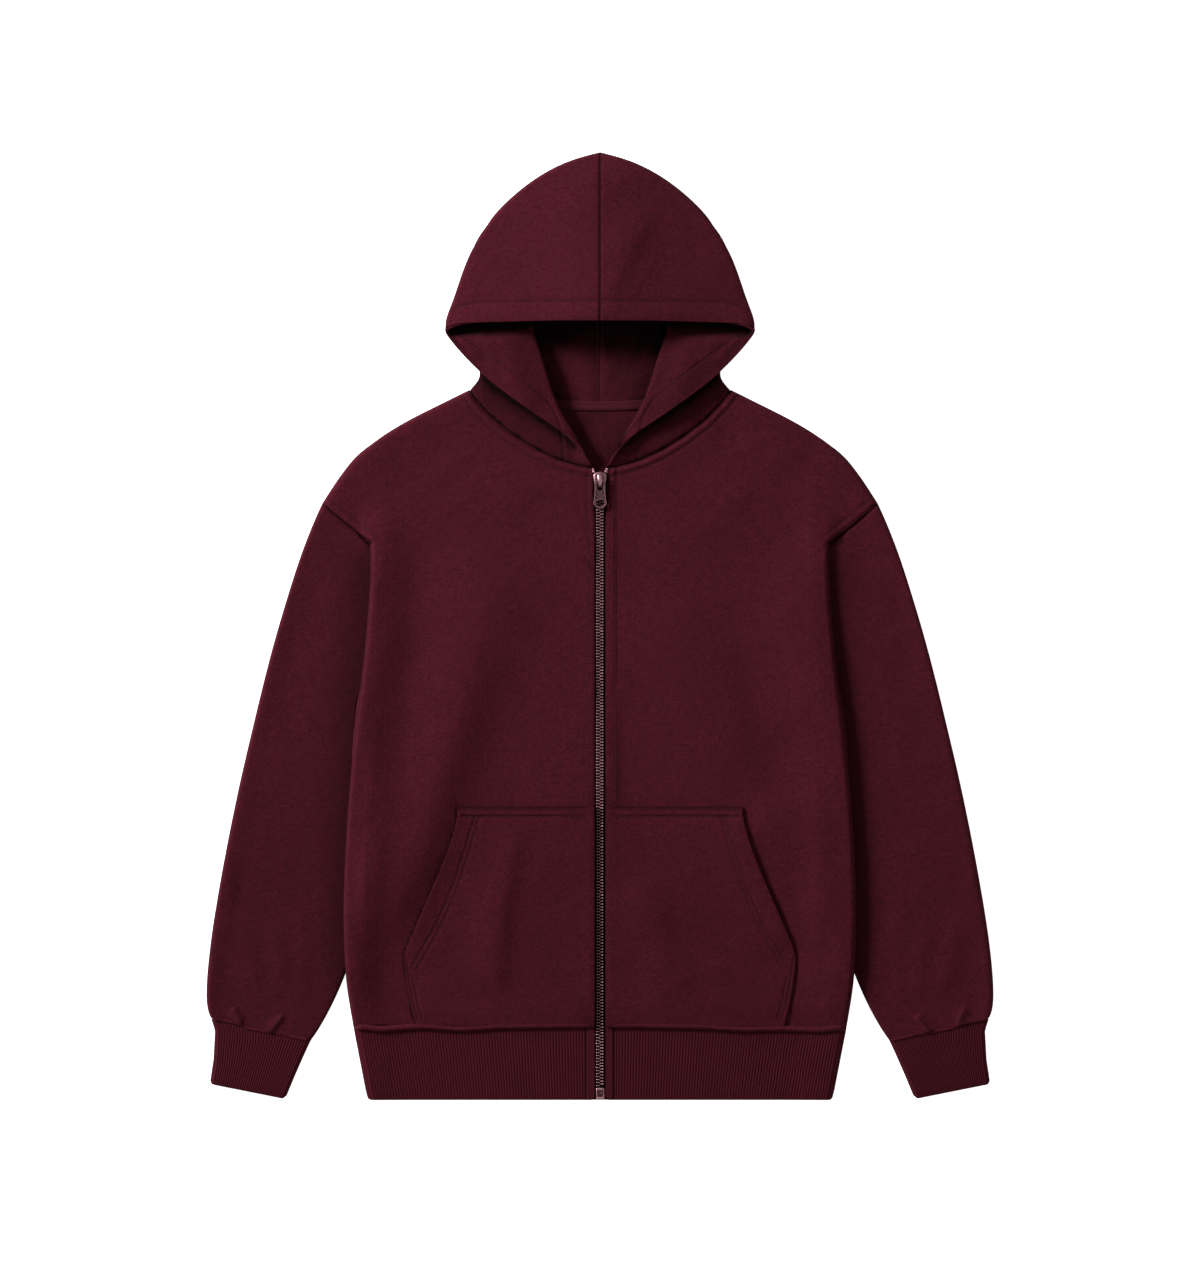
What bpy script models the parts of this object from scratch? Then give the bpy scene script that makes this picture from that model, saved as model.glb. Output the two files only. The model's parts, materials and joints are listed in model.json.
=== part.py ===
"""Zip-up hooded sweatshirt, laid flat on its back.

The part lies in the XY plane, +Z up, with the hood towards +Y. Sides are the wearer's, so the
wearer's right is at -X. Plan places are (x, h) in millimetres, with h measured up the garment
from the lower edge of the hem, and every mesh is written in metres.
"""

import math

import bmesh
import bpy
from mathutils import Matrix, Vector
from mathutils.geometry import interpolate_bezier

MM = 0.001
LENGTH = 929.0  # lower edge of the hem to the top of the hood
CLOTH = 2.4  # brushed fleece, one layer
SEAM_GAP = 0.3  # between pieces that are sewn together
LOFT = 1.2  # air between two layers that lie on each other
LAID = 2 * CLOTH + LOFT  # top of two layers laid flat
FOLD_DEEP = 5.5  # how far a folded edge takes to round over, in plan
FOLD_HIGH = 8.6  # thickness of the garment at a folded edge
FOLD_FALL = 48.0  # a folded edge sinks to the laid height over this distance
WELT = 9.0  # seam allowance stitched down beside the neckline
WELT_HIGH = 0.8
ROLL_ANGLES = (0.0, 30.0, 60.0, 90.0)  # where a folded edge has its points

HEM_SEAM = 71.6  # height of the seam between body and hem rib
BODY_LOW = HEM_SEAM + SEAM_GAP / 2
ZIP_EDGE = 5.4  # half the gap between the two fronts
NECK_FRONT = 619.0  # where the neckline meets the zip
NECK_POINT = Vector((-128.4, 695.8))  # neckline and shoulder meet here
NECK_BACK = 681.0  # back neck seam on the centre line
SHOULDER_POINT = Vector((-272.4, 584.5))  # shoulder and armhole seam meet here
FOLD_START = Vector((-224.0, 545.5))  # the armhole seam goes under the front's fold here
UNDERARM = Vector((-235.3, 400.0))

# height, half width of the body at its folded side edge
SIDE = ((0.0, 228.0), (67.0, 241.0), (118.0, 249.6), (186.0, 252.0), (265.0, 249.0),
        (343.0, 242.0), (400.0, 235.3), (460.0, 228.6), (505.0, 225.0), (545.5, 224.0))
# x, h of the shoulder line from the neck point out
SHOULDER = ((-128.4, 695.8), (-182.3, 669.3), (-213.6, 651.7), (-240.1, 631.0),
            (-257.7, 607.6), (-272.4, 584.5))
# x, h of the front neckline from the zip out
NECKLINE = ((-5.4, 619.0), (-17.6, 621.3), (-39.2, 627.2), (-60.8, 637.0), (-81.3, 649.7),
            (-102.9, 666.4), (-119.6, 684.0), (-128.4, 695.8))
# x, h of the armhole seam from the shoulder point to the underarm
ARMHOLE = ((-272.4, 584.5), (-248.2, 565.0), (-224.0, 545.5), (-216.0, 515.0),
           (-217.0, 470.0), (-225.0, 430.0), (-235.3, 400.0))
# one row a ring: outer x, outer h, inner x, inner h, share of the armhole's curve
SLEEVE = ((-279.5, 570.0, -238.2, 386.0, 0.5), (-292.0, 539.0, -236.6, 367.0, 0.1),
          (-304.0, 502.0, -237.0, 347.0, 0.0), (-317.0, 459.0, -231.0, 328.0, 0.0),
          (-329.0, 414.0, -227.0, 305.0, 0.0), (-340.0, 368.0, -224.5, 278.0, 0.0),
          (-352.0, 318.0, -224.0, 248.0, 0.0), (-362.5, 268.0, -226.0, 212.0, 0.0),
          (-372.0, 218.0, -233.0, 174.0, 0.0), (-380.5, 168.0, -243.5, 138.0, 0.0),
          (-385.5, 126.0, -256.0, 106.0, 0.0), (-386.6, 98.0, -268.0, 82.0, 0.0),
          (-384.5, 86.0, -277.5, 66.0, 0.0), (-381.5, 79.6, -283.0, 58.8, 0.0))
# one row a ring: outer x, outer h, inner x, inner h, half of the thickness at its edge
CUFF = ((-381.2, 79.2, -283.4, 58.4, 3.4), (-377.5, 68.0, -288.8, 47.0, 3.4),
        (-379.0, 40.0, -298.5, 25.0, 3.2), (-382.6, 15.6, -308.6, 0.8, 3.0))
CUFF_RIBS = 22
HEM_RIBS = 62  # on each half of the front
RIB_HIGH = 0.5
HEM_PLAIN = 8.0  # the hem is plain beside the zip for this far

# x, h of the pocket's outline: opening edge, then the side down to the hem seam
POCKET_TOP = 287.5
POCKET_EDGE = ((-140.0, 276.0), (-144.0, 259.0), (-151.5, 238.0), (-161.5, 214.0),
               (-173.5, 187.0), (-184.5, 161.0), (-193.0, 143.0), (-190.5, 116.0),
               (-186.0, 93.0), (-181.0, 72.2))
POCKET_LIFT = 1.6  # the slanted opening stands this much off the front


def smooth(t):
    """An S curve from 0 to 1."""
    t = min(max(t, 0.0), 1.0)
    return t * t * (3.0 - 2.0 * t)


def lerp(a, b, t):
    return a + (b - a) * t


def table(rows, key):
    """Reads a table whose first column rises, between its rows."""
    if key <= rows[0][0]:
        return rows[0][1]
    for low, high in zip(rows, rows[1:]):
        if key <= high[0]:
            return lerp(low[1], high[1], (key - low[0]) / (high[0] - low[0]))
    return rows[-1][1]


def along(points, share):
    """The point at a share of a broken line's length."""
    points = [Vector(p) for p in points]
    lengths = [(b - a).length for a, b in zip(points, points[1:])]
    left = share * sum(lengths)
    for a, b, length in zip(points, points[1:], lengths):
        if left <= length + 1e-9:
            return a.lerp(b, left / length)
        left -= length
    return points[-1]


def line_length(points):
    points = [Vector(p) for p in points]
    return sum((b - a).length for a, b in zip(points, points[1:]))


def away_from(point, line):
    """How far a plan point lies from a broken line."""
    point, best = Vector(point), 1e9
    for a, b in zip(line, line[1:]):
        start, run = Vector(a), Vector(b) - Vector(a)
        share = min(max((point - start).dot(run) / run.length_squared, 0.0), 1.0)
        best = min(best, (point - start - run * share).length)
    return best


def side_x(h):
    """The half width of the body at a height."""
    return table(SIDE, h)


def roll(angle):
    """Depth and height of a folded edge at an angle, both from 0 to 1."""
    return 1.0 - math.cos(math.radians(angle)), math.sin(math.radians(angle))


def material(name, colour, roughness, metallic=0.0):
    made = bpy.data.materials.new(name)
    made.use_nodes = True
    shader = made.node_tree.nodes["Principled BSDF"]
    shader.inputs["Base Color"].default_value = (*colour, 1.0)
    shader.inputs["Roughness"].default_value = roughness
    shader.inputs["Metallic"].default_value = metallic
    made.diffuse_color = (*colour, 1.0)
    return made


def place(point):
    """A (x, h, z) place in millimetres as a vertex in metres."""
    return Vector((point[0], point[1] - LENGTH / 2, point[2])) * MM


def finish(name, mesh_builder, finish_material):
    mesh = bpy.data.meshes.new(name)
    mesh_builder.to_mesh(mesh)
    mesh_builder.free()
    made = bpy.data.objects.new(name, mesh)
    mesh.materials.append(finish_material)
    mesh.shade_smooth()
    mesh.set_sharp_from_angle(angle=math.radians(40))
    hoodie.objects.link(made)
    return made


def wall(name, outer, inner, finish_material, ring=False):
    """A closed cloth wall between two equal nets of points, outer[row][column] and inner.

    Two grids are shaped into the nets and joined along their rims. A ring's last column meets
    its first, so it is an open tube.
    """
    rows, columns = len(outer), len(outer[0])
    net = bmesh.new()
    sheets = []
    for points in (outer, inner):
        grid = bmesh.ops.create_grid(net, x_segments=columns - 1, y_segments=rows - 1, size=1.0)
        for index, vert in enumerate(grid["verts"]):
            vert.co = place(points[index // columns][index % columns])
        sheets.append(grid["verts"])
    low_rim = list(range(columns))
    high_rim = [(rows - 1) * columns + column for column in range(columns)]
    rims = [low_rim, high_rim]
    if not ring:
        rims.append([row * columns for row in range(rows)])
        rims.append([row * columns + columns - 1 for row in range(rows)])
    for rim in rims:
        for a, b in zip(rim, rim[1:]):
            net.faces.new((sheets[0][a], sheets[0][b], sheets[1][b], sheets[1][a]))
    if ring:
        bmesh.ops.remove_doubles(net, verts=net.verts[:], dist=1e-7)
    bmesh.ops.recalc_face_normals(net, faces=net.faces[:])
    return finish(name, net, finish_material)


def mirrored(net):
    """The same net for the wearer's other side."""
    return [[(-x, h, z) for x, h, z in row] for row in net]


def pair(name, outer, inner, finish_material, ring=False):
    """A right piece as given, and a left one that mirrors it."""
    wall(name + "_right", outer, inner, finish_material, ring)
    wall(name + "_left", mirrored(outer), mirrored(inner), finish_material, ring)


for old in list(bpy.data.objects):
    bpy.data.objects.remove(old, do_unlink=True)
hoodie = bpy.data.collections.new("zip_hoodie")
bpy.context.scene.collection.children.link(hoodie)
cutters = bpy.data.collections.new("cutters")
bpy.context.scene.collection.children.link(cutters)

fleece = material("maroon_fleece", (0.062, 0.009, 0.015), 0.95)
rib_knit = material("maroon_rib", (0.05, 0.007, 0.012), 0.95)
tape = material("maroon_tape", (0.05, 0.006, 0.011), 0.8)
metal = material("dark_nickel", (0.16, 0.13, 0.13), 0.35, 1.0)


# ---- heights of the layers ---------------------------------------------------------------

SLEEVE_LAID = 5.5  # top of the sleeve's two layers under the body's edge
SLEEVE_CLEAR = 7.5  # the back panel stays up this far inside the sleeve's edge
SLEEVE_TUCK = 20.0  # and comes down to the floor over this distance
OVER_SLEEVE = 6.0
INNER_SEAM = sorted((row[3], -row[2]) for row in SLEEVE)  # height, half width
INNER_SEAM.append((UNDERARM.y, -UNDERARM.x))


def lift(x, h):
    """How far the back panel is lifted by the sleeve's margin that lies under it."""
    inside = table(INNER_SEAM, h) - abs(x)
    top_end = 1.0 - smooth((h - 388.0) / 22.0)
    low_end = smooth((h - 62.0) / 14.0)
    return OVER_SLEEVE * top_end * low_end * (1.0 - smooth((inside - SLEEVE_CLEAR) / SLEEVE_TUCK))


def edge_rim(h):
    """Height at which the front's folded side edge ends."""
    if h > UNDERARM.y:
        return lerp(lift(side_x(UNDERARM.y), UNDERARM.y) + FOLD_HIGH / 2, OVER_SLEEVE + 0.4,
                    smooth((h - UNDERARM.y) / 14.0))
    return lift(side_x(h), h) + FOLD_HIGH / 2


def edge_top(h):
    """Height of the front on top of its folded side edge."""
    below = lift(side_x(min(h, 380.0)), min(h, 380.0)) + FOLD_HIGH
    return lerp(below, 11.6, smooth((h - 380.0) / 140.0))


def ridge(x, h):
    """The soft fold that runs up from the side edge towards the shoulder."""
    centre = table(((545.0, -222.0), (577.0, -221.5), (594.0, -223.5), (610.0, -228.0)), h)
    fade = 1.0 - smooth((h - 545.5) / 66.0)
    across = x - centre
    wide = 26.0 if across > 0 else 8.0
    trough = -1.2 * math.exp(-((across + 17.0) / 7.0) ** 2) * smooth((h - 548.0) / 10.0)
    return fade * (3.4 * math.exp(-(across / wide) ** 2) + trough)


def front_top(x, h):
    """Top of the front, away from its rounded edges, on the wearer's right."""
    if h <= FOLD_START.y:
        inward = side_x(h) - abs(x) - FOLD_DEEP
        crest = edge_top(h)
    else:
        inward = away_from((x, h), (FOLD_START, SHOULDER_POINT)) + 6.0
        crest = FOLD_HIGH
    down = away_from((x, h), SHOULDER) - FOLD_DEEP
    by_side = (crest - LAID) * (1.0 - smooth(inward / FOLD_FALL))
    by_shoulder = (FOLD_HIGH - LAID) * (1.0 - smooth(down / FOLD_FALL))
    welt = 1.0 - smooth((away_from((x, h), NECKLINE) - WELT) / 3.0)
    height = LAID + max(by_side, by_shoulder) + WELT_HIGH * welt
    height += ridge(x, h) if h > FOLD_START.y else 0.0
    return max(height, lift(x, h) + LAID)


# ---- fronts ------------------------------------------------------------------------------

EDGE_COLUMNS = [(FOLD_DEEP * roll(angle)[0], angle) for angle in ROLL_ANGLES]
SIDE_COLUMNS = (13.0, 22.0, 34.0, 53.5)  # depths beside the side fold, the same in front and back
SEAM_RUN = SHOULDER_POINT - FOLD_START
SIDE_ROWS = (BODY_LOW, 100.0, 128.0, 152.0, 178.0, 235.0, 300.0, 345.0, 370.0, 388.0, UNDERARM.y)


def shoulder_bow(share):
    """How far the shoulder line stands above its chord, from the neck point out."""
    reach = lerp(SHOULDER[0][0], SHOULDER[-1][0], share)
    line = table(sorted(SHOULDER), reach)
    return line - lerp(NECK_POINT.y, SHOULDER_POINT.y, share)


def into_body(x):
    """The way a shoulder's folded edge faces inward: along the neckline, along the armhole."""
    share = (x - NECK_POINT.x) / (SHOULDER_POINT.x - NECK_POINT.x)
    neck_way = (Vector(NECKLINE[-2]) - NECK_POINT).normalized()
    return neck_way.lerp(-SEAM_RUN.normalized(), min(max(share, 0.0), 1.0))


def front_rows():
    """Inner end, outer end, side fold or not, angle of the shoulder's fold, share of its bow."""
    rows = []
    for h in SIDE_ROWS + (417.0, 450.0, 500.0, FOLD_START.y):
        rise = (h - BODY_LOW) / (FOLD_START.y - BODY_LOW)
        inner = Vector((-ZIP_EDGE, lerp(BODY_LOW, 603.0, rise)))
        rows.append((inner, Vector((-side_x(h), h)), True, 90.0, 0.0))
    shares = (0.10, 0.20, 0.34, 0.48, 0.62, 0.76, 0.86)
    bows = (0.0, 0.04, 0.12, 0.24, 0.4, 0.64, 0.88)
    for inner, share, bow in zip(NECKLINE, shares, bows):
        rows.append((Vector(inner), FOLD_START + SEAM_RUN * share, False, 90.0, bow))
    neck_run = Vector(NECKLINE[-2]) - NECK_POINT
    for deep, angle in reversed(EDGE_COLUMNS):
        inner = NECK_POINT + neck_run.normalized() * deep
        outer = SHOULDER_POINT - SEAM_RUN.normalized() * deep
        rows.append((inner, outer, False, angle, 1.0))
    return rows


def front_net():
    outer_net, inner_net = [], []
    for inner_end, outer_end, folded, top_angle, bow in front_rows():
        run = inner_end - outer_end
        length = run.length
        columns = [(deep, angle if folded else 90.0) for deep, angle in EDGE_COLUMNS]
        columns += [(deep, 90.0) for deep in SIDE_COLUMNS]
        columns += [(lerp(SIDE_COLUMNS[-1], length - 9.0, step / 4), 90.0) for step in (1, 2, 3)]
        columns += [(length - 9.0, 90.0), (length, 90.0)]
        outer_row, inner_row = [], []
        for deep, angle in columns:
            spot = outer_end + run * (deep / length)
            spot.y += bow * shoulder_bow(1.0 - deep / length)
            top = front_top(spot.x, spot.y)
            side_up, top_up = roll(angle)[1], roll(top_angle)[1]
            if folded:
                rim = edge_rim(spot.y) + SEAM_GAP / 2
                top = lerp(rim, top, side_up)
            shoulder_rim = FOLD_HIGH / 2 + SEAM_GAP / 2
            top = lerp(shoulder_rim, top, top_up)
            side_in = run.normalized() * math.cos(math.radians(angle))
            top_in = into_body(spot.x) * math.cos(math.radians(top_angle))
            into = side_in + top_in
            outer_row.append((spot.x, spot.y, top))
            inner_row.append((spot.x + into.x * CLOTH, spot.y + into.y * CLOTH,
                              top - CLOTH * side_up * top_up))
        outer_net.append(outer_row)
        inner_net.append(inner_row)
    return outer_net, inner_net


pair("front", *front_net(), fleece)


# ---- back --------------------------------------------------------------------------------

BACK_COLUMNS_X = (128.4, 122.0, 92.0, 61.0, 30.0, 0.0)
BACK_NECK = [(x, NECK_BACK + (NECK_POINT.y - NECK_BACK) * (x / NECK_POINT.x) ** 2)
             for x in reversed(BACK_COLUMNS_X)]


def back_neck(x):
    """Height of the back neck seam."""
    return table(BACK_NECK, abs(x))


def back_top(x):
    """Height of the back panel's upper edge, neck and shoulder."""
    return back_neck(x) if abs(x) <= -NECK_POINT.x else table(sorted(SHOULDER), -abs(x))


def back_rows():
    """Height on the centre line, outer end, share of side fold, shoulder's angle, top's share."""
    rows = []
    for h in SIDE_ROWS:
        rows.append((h, Vector((-side_x(h), h)), 1.0, 90.0, 0.0))
    armhole = [Vector(p) for p in reversed(ARMHOLE)]
    middle = armhole[0].lerp(armhole[1], 0.4)
    for outer, centre, top in zip([middle] + armhole[1:-1], (417.0, 448.0, 500.0, 556.0, 604.0, 642.0),
                                  (0.0, 0.03, 0.1, 0.26, 0.5, 0.78)):
        rows.append((centre, outer, 0.0, 90.0, top))
    for deep, angle in reversed(EDGE_COLUMNS):
        rows.append((NECK_BACK - deep, SHOULDER_POINT - SEAM_RUN.normalized() * deep, 0.0, angle, 1.0))
    return rows


def back_net():
    outer_net, inner_net = [], []
    for centre, outer_end, folded, top_angle, top_share in back_rows():
        run = Vector((0.0, centre)) - outer_end
        length = run.length
        places = [(deep, angle) for deep, angle in EDGE_COLUMNS]
        places += [(deep, 90.0) for deep in SIDE_COLUMNS]
        spots = [(outer_end + run * (deep / length), angle) for deep, angle in places]
        last = spots[-1][0]
        for x in (lerp(-last.x, BACK_COLUMNS_X[0], 0.5),) + BACK_COLUMNS_X:
            spots.append((outer_end + run * ((-outer_end.x - x) / -outer_end.x), 90.0))
        outer_row, inner_row = [], []
        for spot, angle in spots:
            share = spot.x / outer_end.x
            bow = back_top(share * SHOULDER_POINT.x) - lerp(NECK_BACK, SHOULDER_POINT.y, share)
            spot = Vector((spot.x, spot.y + top_share * bow))
            side_up = lerp(1.0, roll(angle)[1], folded)
            top_up = roll(top_angle)[1] if spot.x < NECK_POINT.x + 1e-3 else 1.0
            low = lift(spot.x, spot.y)
            if folded:
                low = lerp(edge_rim(spot.y) - SEAM_GAP / 2, low, side_up)
            low = lerp(FOLD_HIGH / 2 - SEAM_GAP / 2, low, top_up)
            into = (run.normalized() * folded * math.cos(math.radians(angle))
                    + into_body(spot.x) * math.sqrt(1.0 - top_up ** 2))
            outer_row.append((spot.x, spot.y, low))
            inner_row.append((spot.x + into.x * CLOTH, spot.y + into.y * CLOTH,
                              low + CLOTH * side_up * top_up))
        for row in (outer_row, inner_row):
            row += [(-x, h, z) for x, h, z in reversed(row[:-1])]
        outer_net.append(outer_row)
        inner_net.append(inner_row)
    return outer_net, inner_net


wall("back_panel", *back_net(), fleece)


# ---- sleeves -----------------------------------------------------------------------------

TUCK_DEEP = 3.6  # the sleeve's inner edge rounds over in this depth
SLEEVE_PLEATS = (0.287, 0.647)  # places across the sleeve where it is pleated into the cuff
PLEAT_HIGH = 1.3


def sleeve_top(x, h, share, gather):
    """Top of the sleeve, away from its rounded edges."""
    edge = side_x(h) if h < FOLD_START.y else -FOLD_START.x
    out = smooth((abs(x) - edge - 6.0) / 40.0)
    crest = FOLD_HIGH * (1.0 - smooth(share / 0.16))
    laid = lerp(SLEEVE_LAID, 6.6, out)
    pleat = max(math.exp(-((share - place) / 0.07) ** 2) for place in SLEEVE_PLEATS)
    return max(laid, crest) + PLEAT_HIGH * gather * pleat


def tube_row(across, inner_way, deeps, halves, top_of, top_shares, low_shares):
    """One ring of a flat tube: over its top from the outer edge to the inner, back underneath.

    across gives the plan place at a share of the way, and inner_way points from the inner edge
    into the tube. deeps and halves are the depth and half height of the two rounded edges.
    """
    outer_row, inner_row = [], []
    ways = ((across(0.03) - across(0.0)).normalized(), inner_way.normalized())

    def add_top(spot, height, way, angle):
        level = math.cos(math.radians(angle)) * CLOTH
        outer_row.append((spot.x, spot.y, height))
        inner_row.append((spot.x + way.x * level, spot.y + way.y * level,
                          height - CLOTH * roll(angle)[1]))

    def add_low(spot, half, way, angle):
        level = math.cos(math.radians(angle)) * CLOTH
        height = half * (1.0 - roll(angle)[1])
        outer_row.append((spot.x, spot.y, height))
        inner_row.append((spot.x + way.x * level, spot.y + way.y * level,
                          height + CLOTH * roll(angle)[1]))

    def edge(side, angle):
        return across(float(side)) + ways[side] * deeps[side] * roll(angle)[0]

    for angle in (0.0, 30.0, 60.0, 90.0):
        spot = edge(0, angle)
        crest = top_of(edge(0, 90.0), 0.0)
        add_top(spot, lerp(halves[0], crest, roll(angle)[1]), ways[0], angle)
    for share in top_shares:
        add_top(across(share), top_of(across(share), share), ways[0], 90.0)
    for angle in (90.0, 60.0, 30.0, 0.0):
        crest = top_of(edge(1, 90.0), 1.0)
        add_top(edge(1, angle), lerp(halves[1], crest, roll(angle)[1]), ways[1], angle)
    for angle in (45.0, 90.0):
        add_low(edge(1, angle), halves[1], ways[1], angle)
    for share in low_shares:
        add_low(across(share), 0.0, ways[0], 90.0)
    for angle in (90.0, 45.0):
        add_low(edge(0, angle), halves[0], ways[0], angle)
    outer_row.append(outer_row[0])
    inner_row.append(inner_row[0])
    return outer_row, inner_row


ARMHOLE_SHARES = [line_length(ARMHOLE[:count]) / line_length(ARMHOLE) for count in range(2, 7)]


def sleeve_net():
    """Rings from the armhole seam down to the cuff seam."""
    first = [Vector(p) for p in ARMHOLE]
    gap = Vector((-0.36, -0.1))  # clears the seam by SEAM_GAP along its whole curve
    rings = [(first[0].x + gap.x, first[0].y + gap.y, first[-1].x + gap.x, first[-1].y + gap.y, 1.0)]
    rings += SLEEVE
    outer_net, inner_net = [], []
    for index, (outer_x, outer_h, inner_x, inner_h, curve) in enumerate(rings):
        start, end = Vector((outer_x, outer_h)), Vector((inner_x, inner_h))
        gather = smooth((index - (len(rings) - 4)) / 3.0)
        inner_half = lerp(SLEEVE_LAID / 2, 3.4, smooth((index - 8) / 4.0))
        outer_half = lerp(FOLD_HIGH / 2, 3.6, index / len(rings))

        def across(share):
            bend = along(ARMHOLE, share) - first[0].lerp(first[-1], share)
            return start.lerp(end, share) + bend * curve

        before, after = rings[max(index - 1, 0)], rings[min(index + 1, len(rings) - 1)]
        seam_run = Vector((after[2] - before[2], after[3] - before[3]))
        inner_way = Vector((seam_run.y, -seam_run.x)) if index else across(0.9) - across(1.0)
        rows = tube_row(across, inner_way, (FOLD_DEEP, TUCK_DEEP), (outer_half, inner_half),
                        lambda spot, share: sleeve_top(spot.x, spot.y, share, gather),
                        ARMHOLE_SHARES, ARMHOLE_SHARES[4:0:-1])
        outer_net.append(rows[0])
        inner_net.append(rows[1])
    return outer_net, inner_net


pair("sleeve", *sleeve_net(), fleece, ring=True)


# ---- ribbed cuffs and hem ----------------------------------------------------------------

RIB_LAID = 6.2  # the rib is folded double and pressed


def ribs(low, high, count):
    """Shares across a rib panel, two for each rib, and whether each is a rib's top."""
    steps = 2 * count
    return [(lerp(low, high, step / steps), step % 2) for step in range(steps + 1)]


def cuff_net():
    outer_net, inner_net = [], []
    knit = ribs(0.06, 0.94, CUFF_RIBS)
    heights = {share: RIB_HIGH * raised for share, raised in knit}
    for outer_x, outer_h, inner_x, inner_h, half in CUFF:
        start, end = Vector((outer_x, outer_h)), Vector((inner_x, inner_h))
        rows = tube_row(lambda share: start.lerp(end, share), start - end, (3.0, 3.0), (half, half),
                        lambda spot, share: RIB_LAID + heights.get(share, 0.0),
                        [share for share, _ in knit], (0.8, 0.5, 0.2))
        outer_net.append(rows[0])
        inner_net.append(rows[1])
    return outer_net, inner_net


pair("cuff", *cuff_net(), rib_knit, ring=True)


def hem_net():
    """From the zip over the front to the side, and back underneath to the middle of the back."""
    outer_net, inner_net = [], []
    for h in (HEM_SEAM - SEAM_GAP / 2, 0.0):
        edge = side_x(h)
        outer_row, inner_row = [], []

        def crest(x):
            deep = edge - x - FOLD_DEEP
            return RIB_LAID + (FOLD_HIGH - RIB_LAID) * (1.0 - smooth(deep / FOLD_FALL))

        plain_end = edge - FOLD_DEEP - 1.0
        tops = [(ZIP_EDGE, 0)] + [(lerp(ZIP_EDGE + HEM_PLAIN, plain_end, share), raised)
                                  for share, raised in ribs(0.0, 1.0, HEM_RIBS)]
        for x, raised in tops:
            top = crest(x) + RIB_HIGH * raised
            outer_row.append((-x, h, top))
            inner_row.append((-x, h, crest(x) - CLOTH))
        for angle in (90.0, 60.0, 30.0, 0.0):
            deep, up = roll(angle)
            level = math.cos(math.radians(angle)) * CLOTH
            x, top = edge - FOLD_DEEP * deep, lerp(FOLD_HIGH / 2, FOLD_HIGH, up)
            outer_row.append((-x, h, top))
            inner_row.append((-x + level, h, top - CLOTH * up))
        for angle in (30.0, 60.0, 90.0):
            deep, up = roll(angle)
            level = math.cos(math.radians(angle)) * CLOTH
            x, low = edge - FOLD_DEEP * deep, lerp(FOLD_HIGH / 2, 0.0, up)
            outer_row.append((-x, h, low))
            inner_row.append((-x + level, h, low + CLOTH * up))
        for x in (edge * 0.6, 0.0):
            outer_row.append((-x, h, 0.0))
            inner_row.append((-x, h, CLOTH))
        for row in (outer_row, inner_row):
            row += [(-x, h, z) for x, h, z in reversed(row[:-1])]
        outer_net.append(outer_row)
        inner_net.append(inner_row)
    return outer_net, inner_net


wall("hem_rib", *hem_net(), rib_knit)


# ---- pockets -----------------------------------------------------------------------------

def pocket_net():
    """A patch on the front, moved out from its surface, with its slanted edge standing off."""
    outer_net, inner_net = [], []
    rows = [(POCKET_TOP, -139.0), (POCKET_TOP - 4.0, -139.6)]
    rows += [(h, x) for x, h in POCKET_EDGE]
    for h, edge_x in rows:
        outer_row, inner_row = [], []
        slant = smooth((h - 140.0) / 30.0) * (1.0 - smooth((h - 268.0) / 14.0))
        length = -edge_x - ZIP_EDGE
        for deep in (0.0, 2.0, 9.0, 24.0, 50.0, 80.0, length - 9.0, length):
            x = edge_x + deep
            rise = POCKET_LIFT * slant * (1.0 - smooth(deep / 40.0))
            low = front_top(x, h) + SEAM_GAP + rise
            thick = CLOTH if deep else CLOTH - 0.6
            outer_row.append((x, h, low + thick))
            inner_row.append((x, h, low))
        outer_net.append(outer_row)
        inner_net.append(inner_row)
    return outer_net, inner_net


pair("pocket", *pocket_net(), fleece)


# ---- hood --------------------------------------------------------------------------------

# Each row of the hood starts on the centre line of the floor layer, folds back at the side,
# rolls over at the opening, and folds again at the side into the layer over the forehead.
# Below the corner of the opening the row ends on the turned-back edge. Heights are those of
# the middle of the cloth, and the rows of all four tables belong together.
HOOD_LOW = CLOTH / 2
HOOD_X = SEAM_GAP / 2  # the centre seam's half gap
# centre h on the floor, x, h of the side fold, height above it
HOOD_FOLD = ((690.0, -117.5, 706.0, 7.6), (699.0, -117.0, 715.0, 7.6), (708.0, -121.0, 725.0, 7.8),
             (718.0, -130.0, 735.0, 8.0), (730.0, -142.0, 743.0, 8.0), (742.0, -150.0, 750.0, 8.0),
             (752.0, -151.0, 754.5, 8.0), (762.0, -151.0, 759.0, 8.0), (775.0, -148.5, 770.0, 8.0),
             (793.0, -142.0, 784.0, 7.8), (815.0, -134.3, 808.5, 7.4), (838.0, -124.5, 833.0, 6.6))
# x, h of the roll at the opening, height below it and above it, share of the neckline's curve
HOOD_ROLL = ((-22.0, 631.0, 7.4, 7.5, 1.0), (-19.5, 644.0, 8.0, 9.4, 1.0),
             (-29.0, 660.5, 8.4, 13.4, 1.0), (-44.0, 683.0, 10.2, 15.2, 0.7),
             (-55.9, 724.2, 10.2, 15.2, 0.3), (-63.0, 745.0, 10.0, 15.0, 0.1),
             (-65.0, 752.0, 9.8, 14.6, 0.0), (-66.0, 758.0, 9.6, 14.2, 0.0),
             (-71.0, 770.0, 9.4, 14.0, 0.0), (-83.0, 787.0, 9.0, 13.4, 0.0),
             (-104.0, 811.0, 8.0, 12.6, 0.0), (-114.0, 834.2, 7.0, 11.6, 0.0))
NECK_RUN = list(reversed(NECKLINE[1:]))
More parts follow.
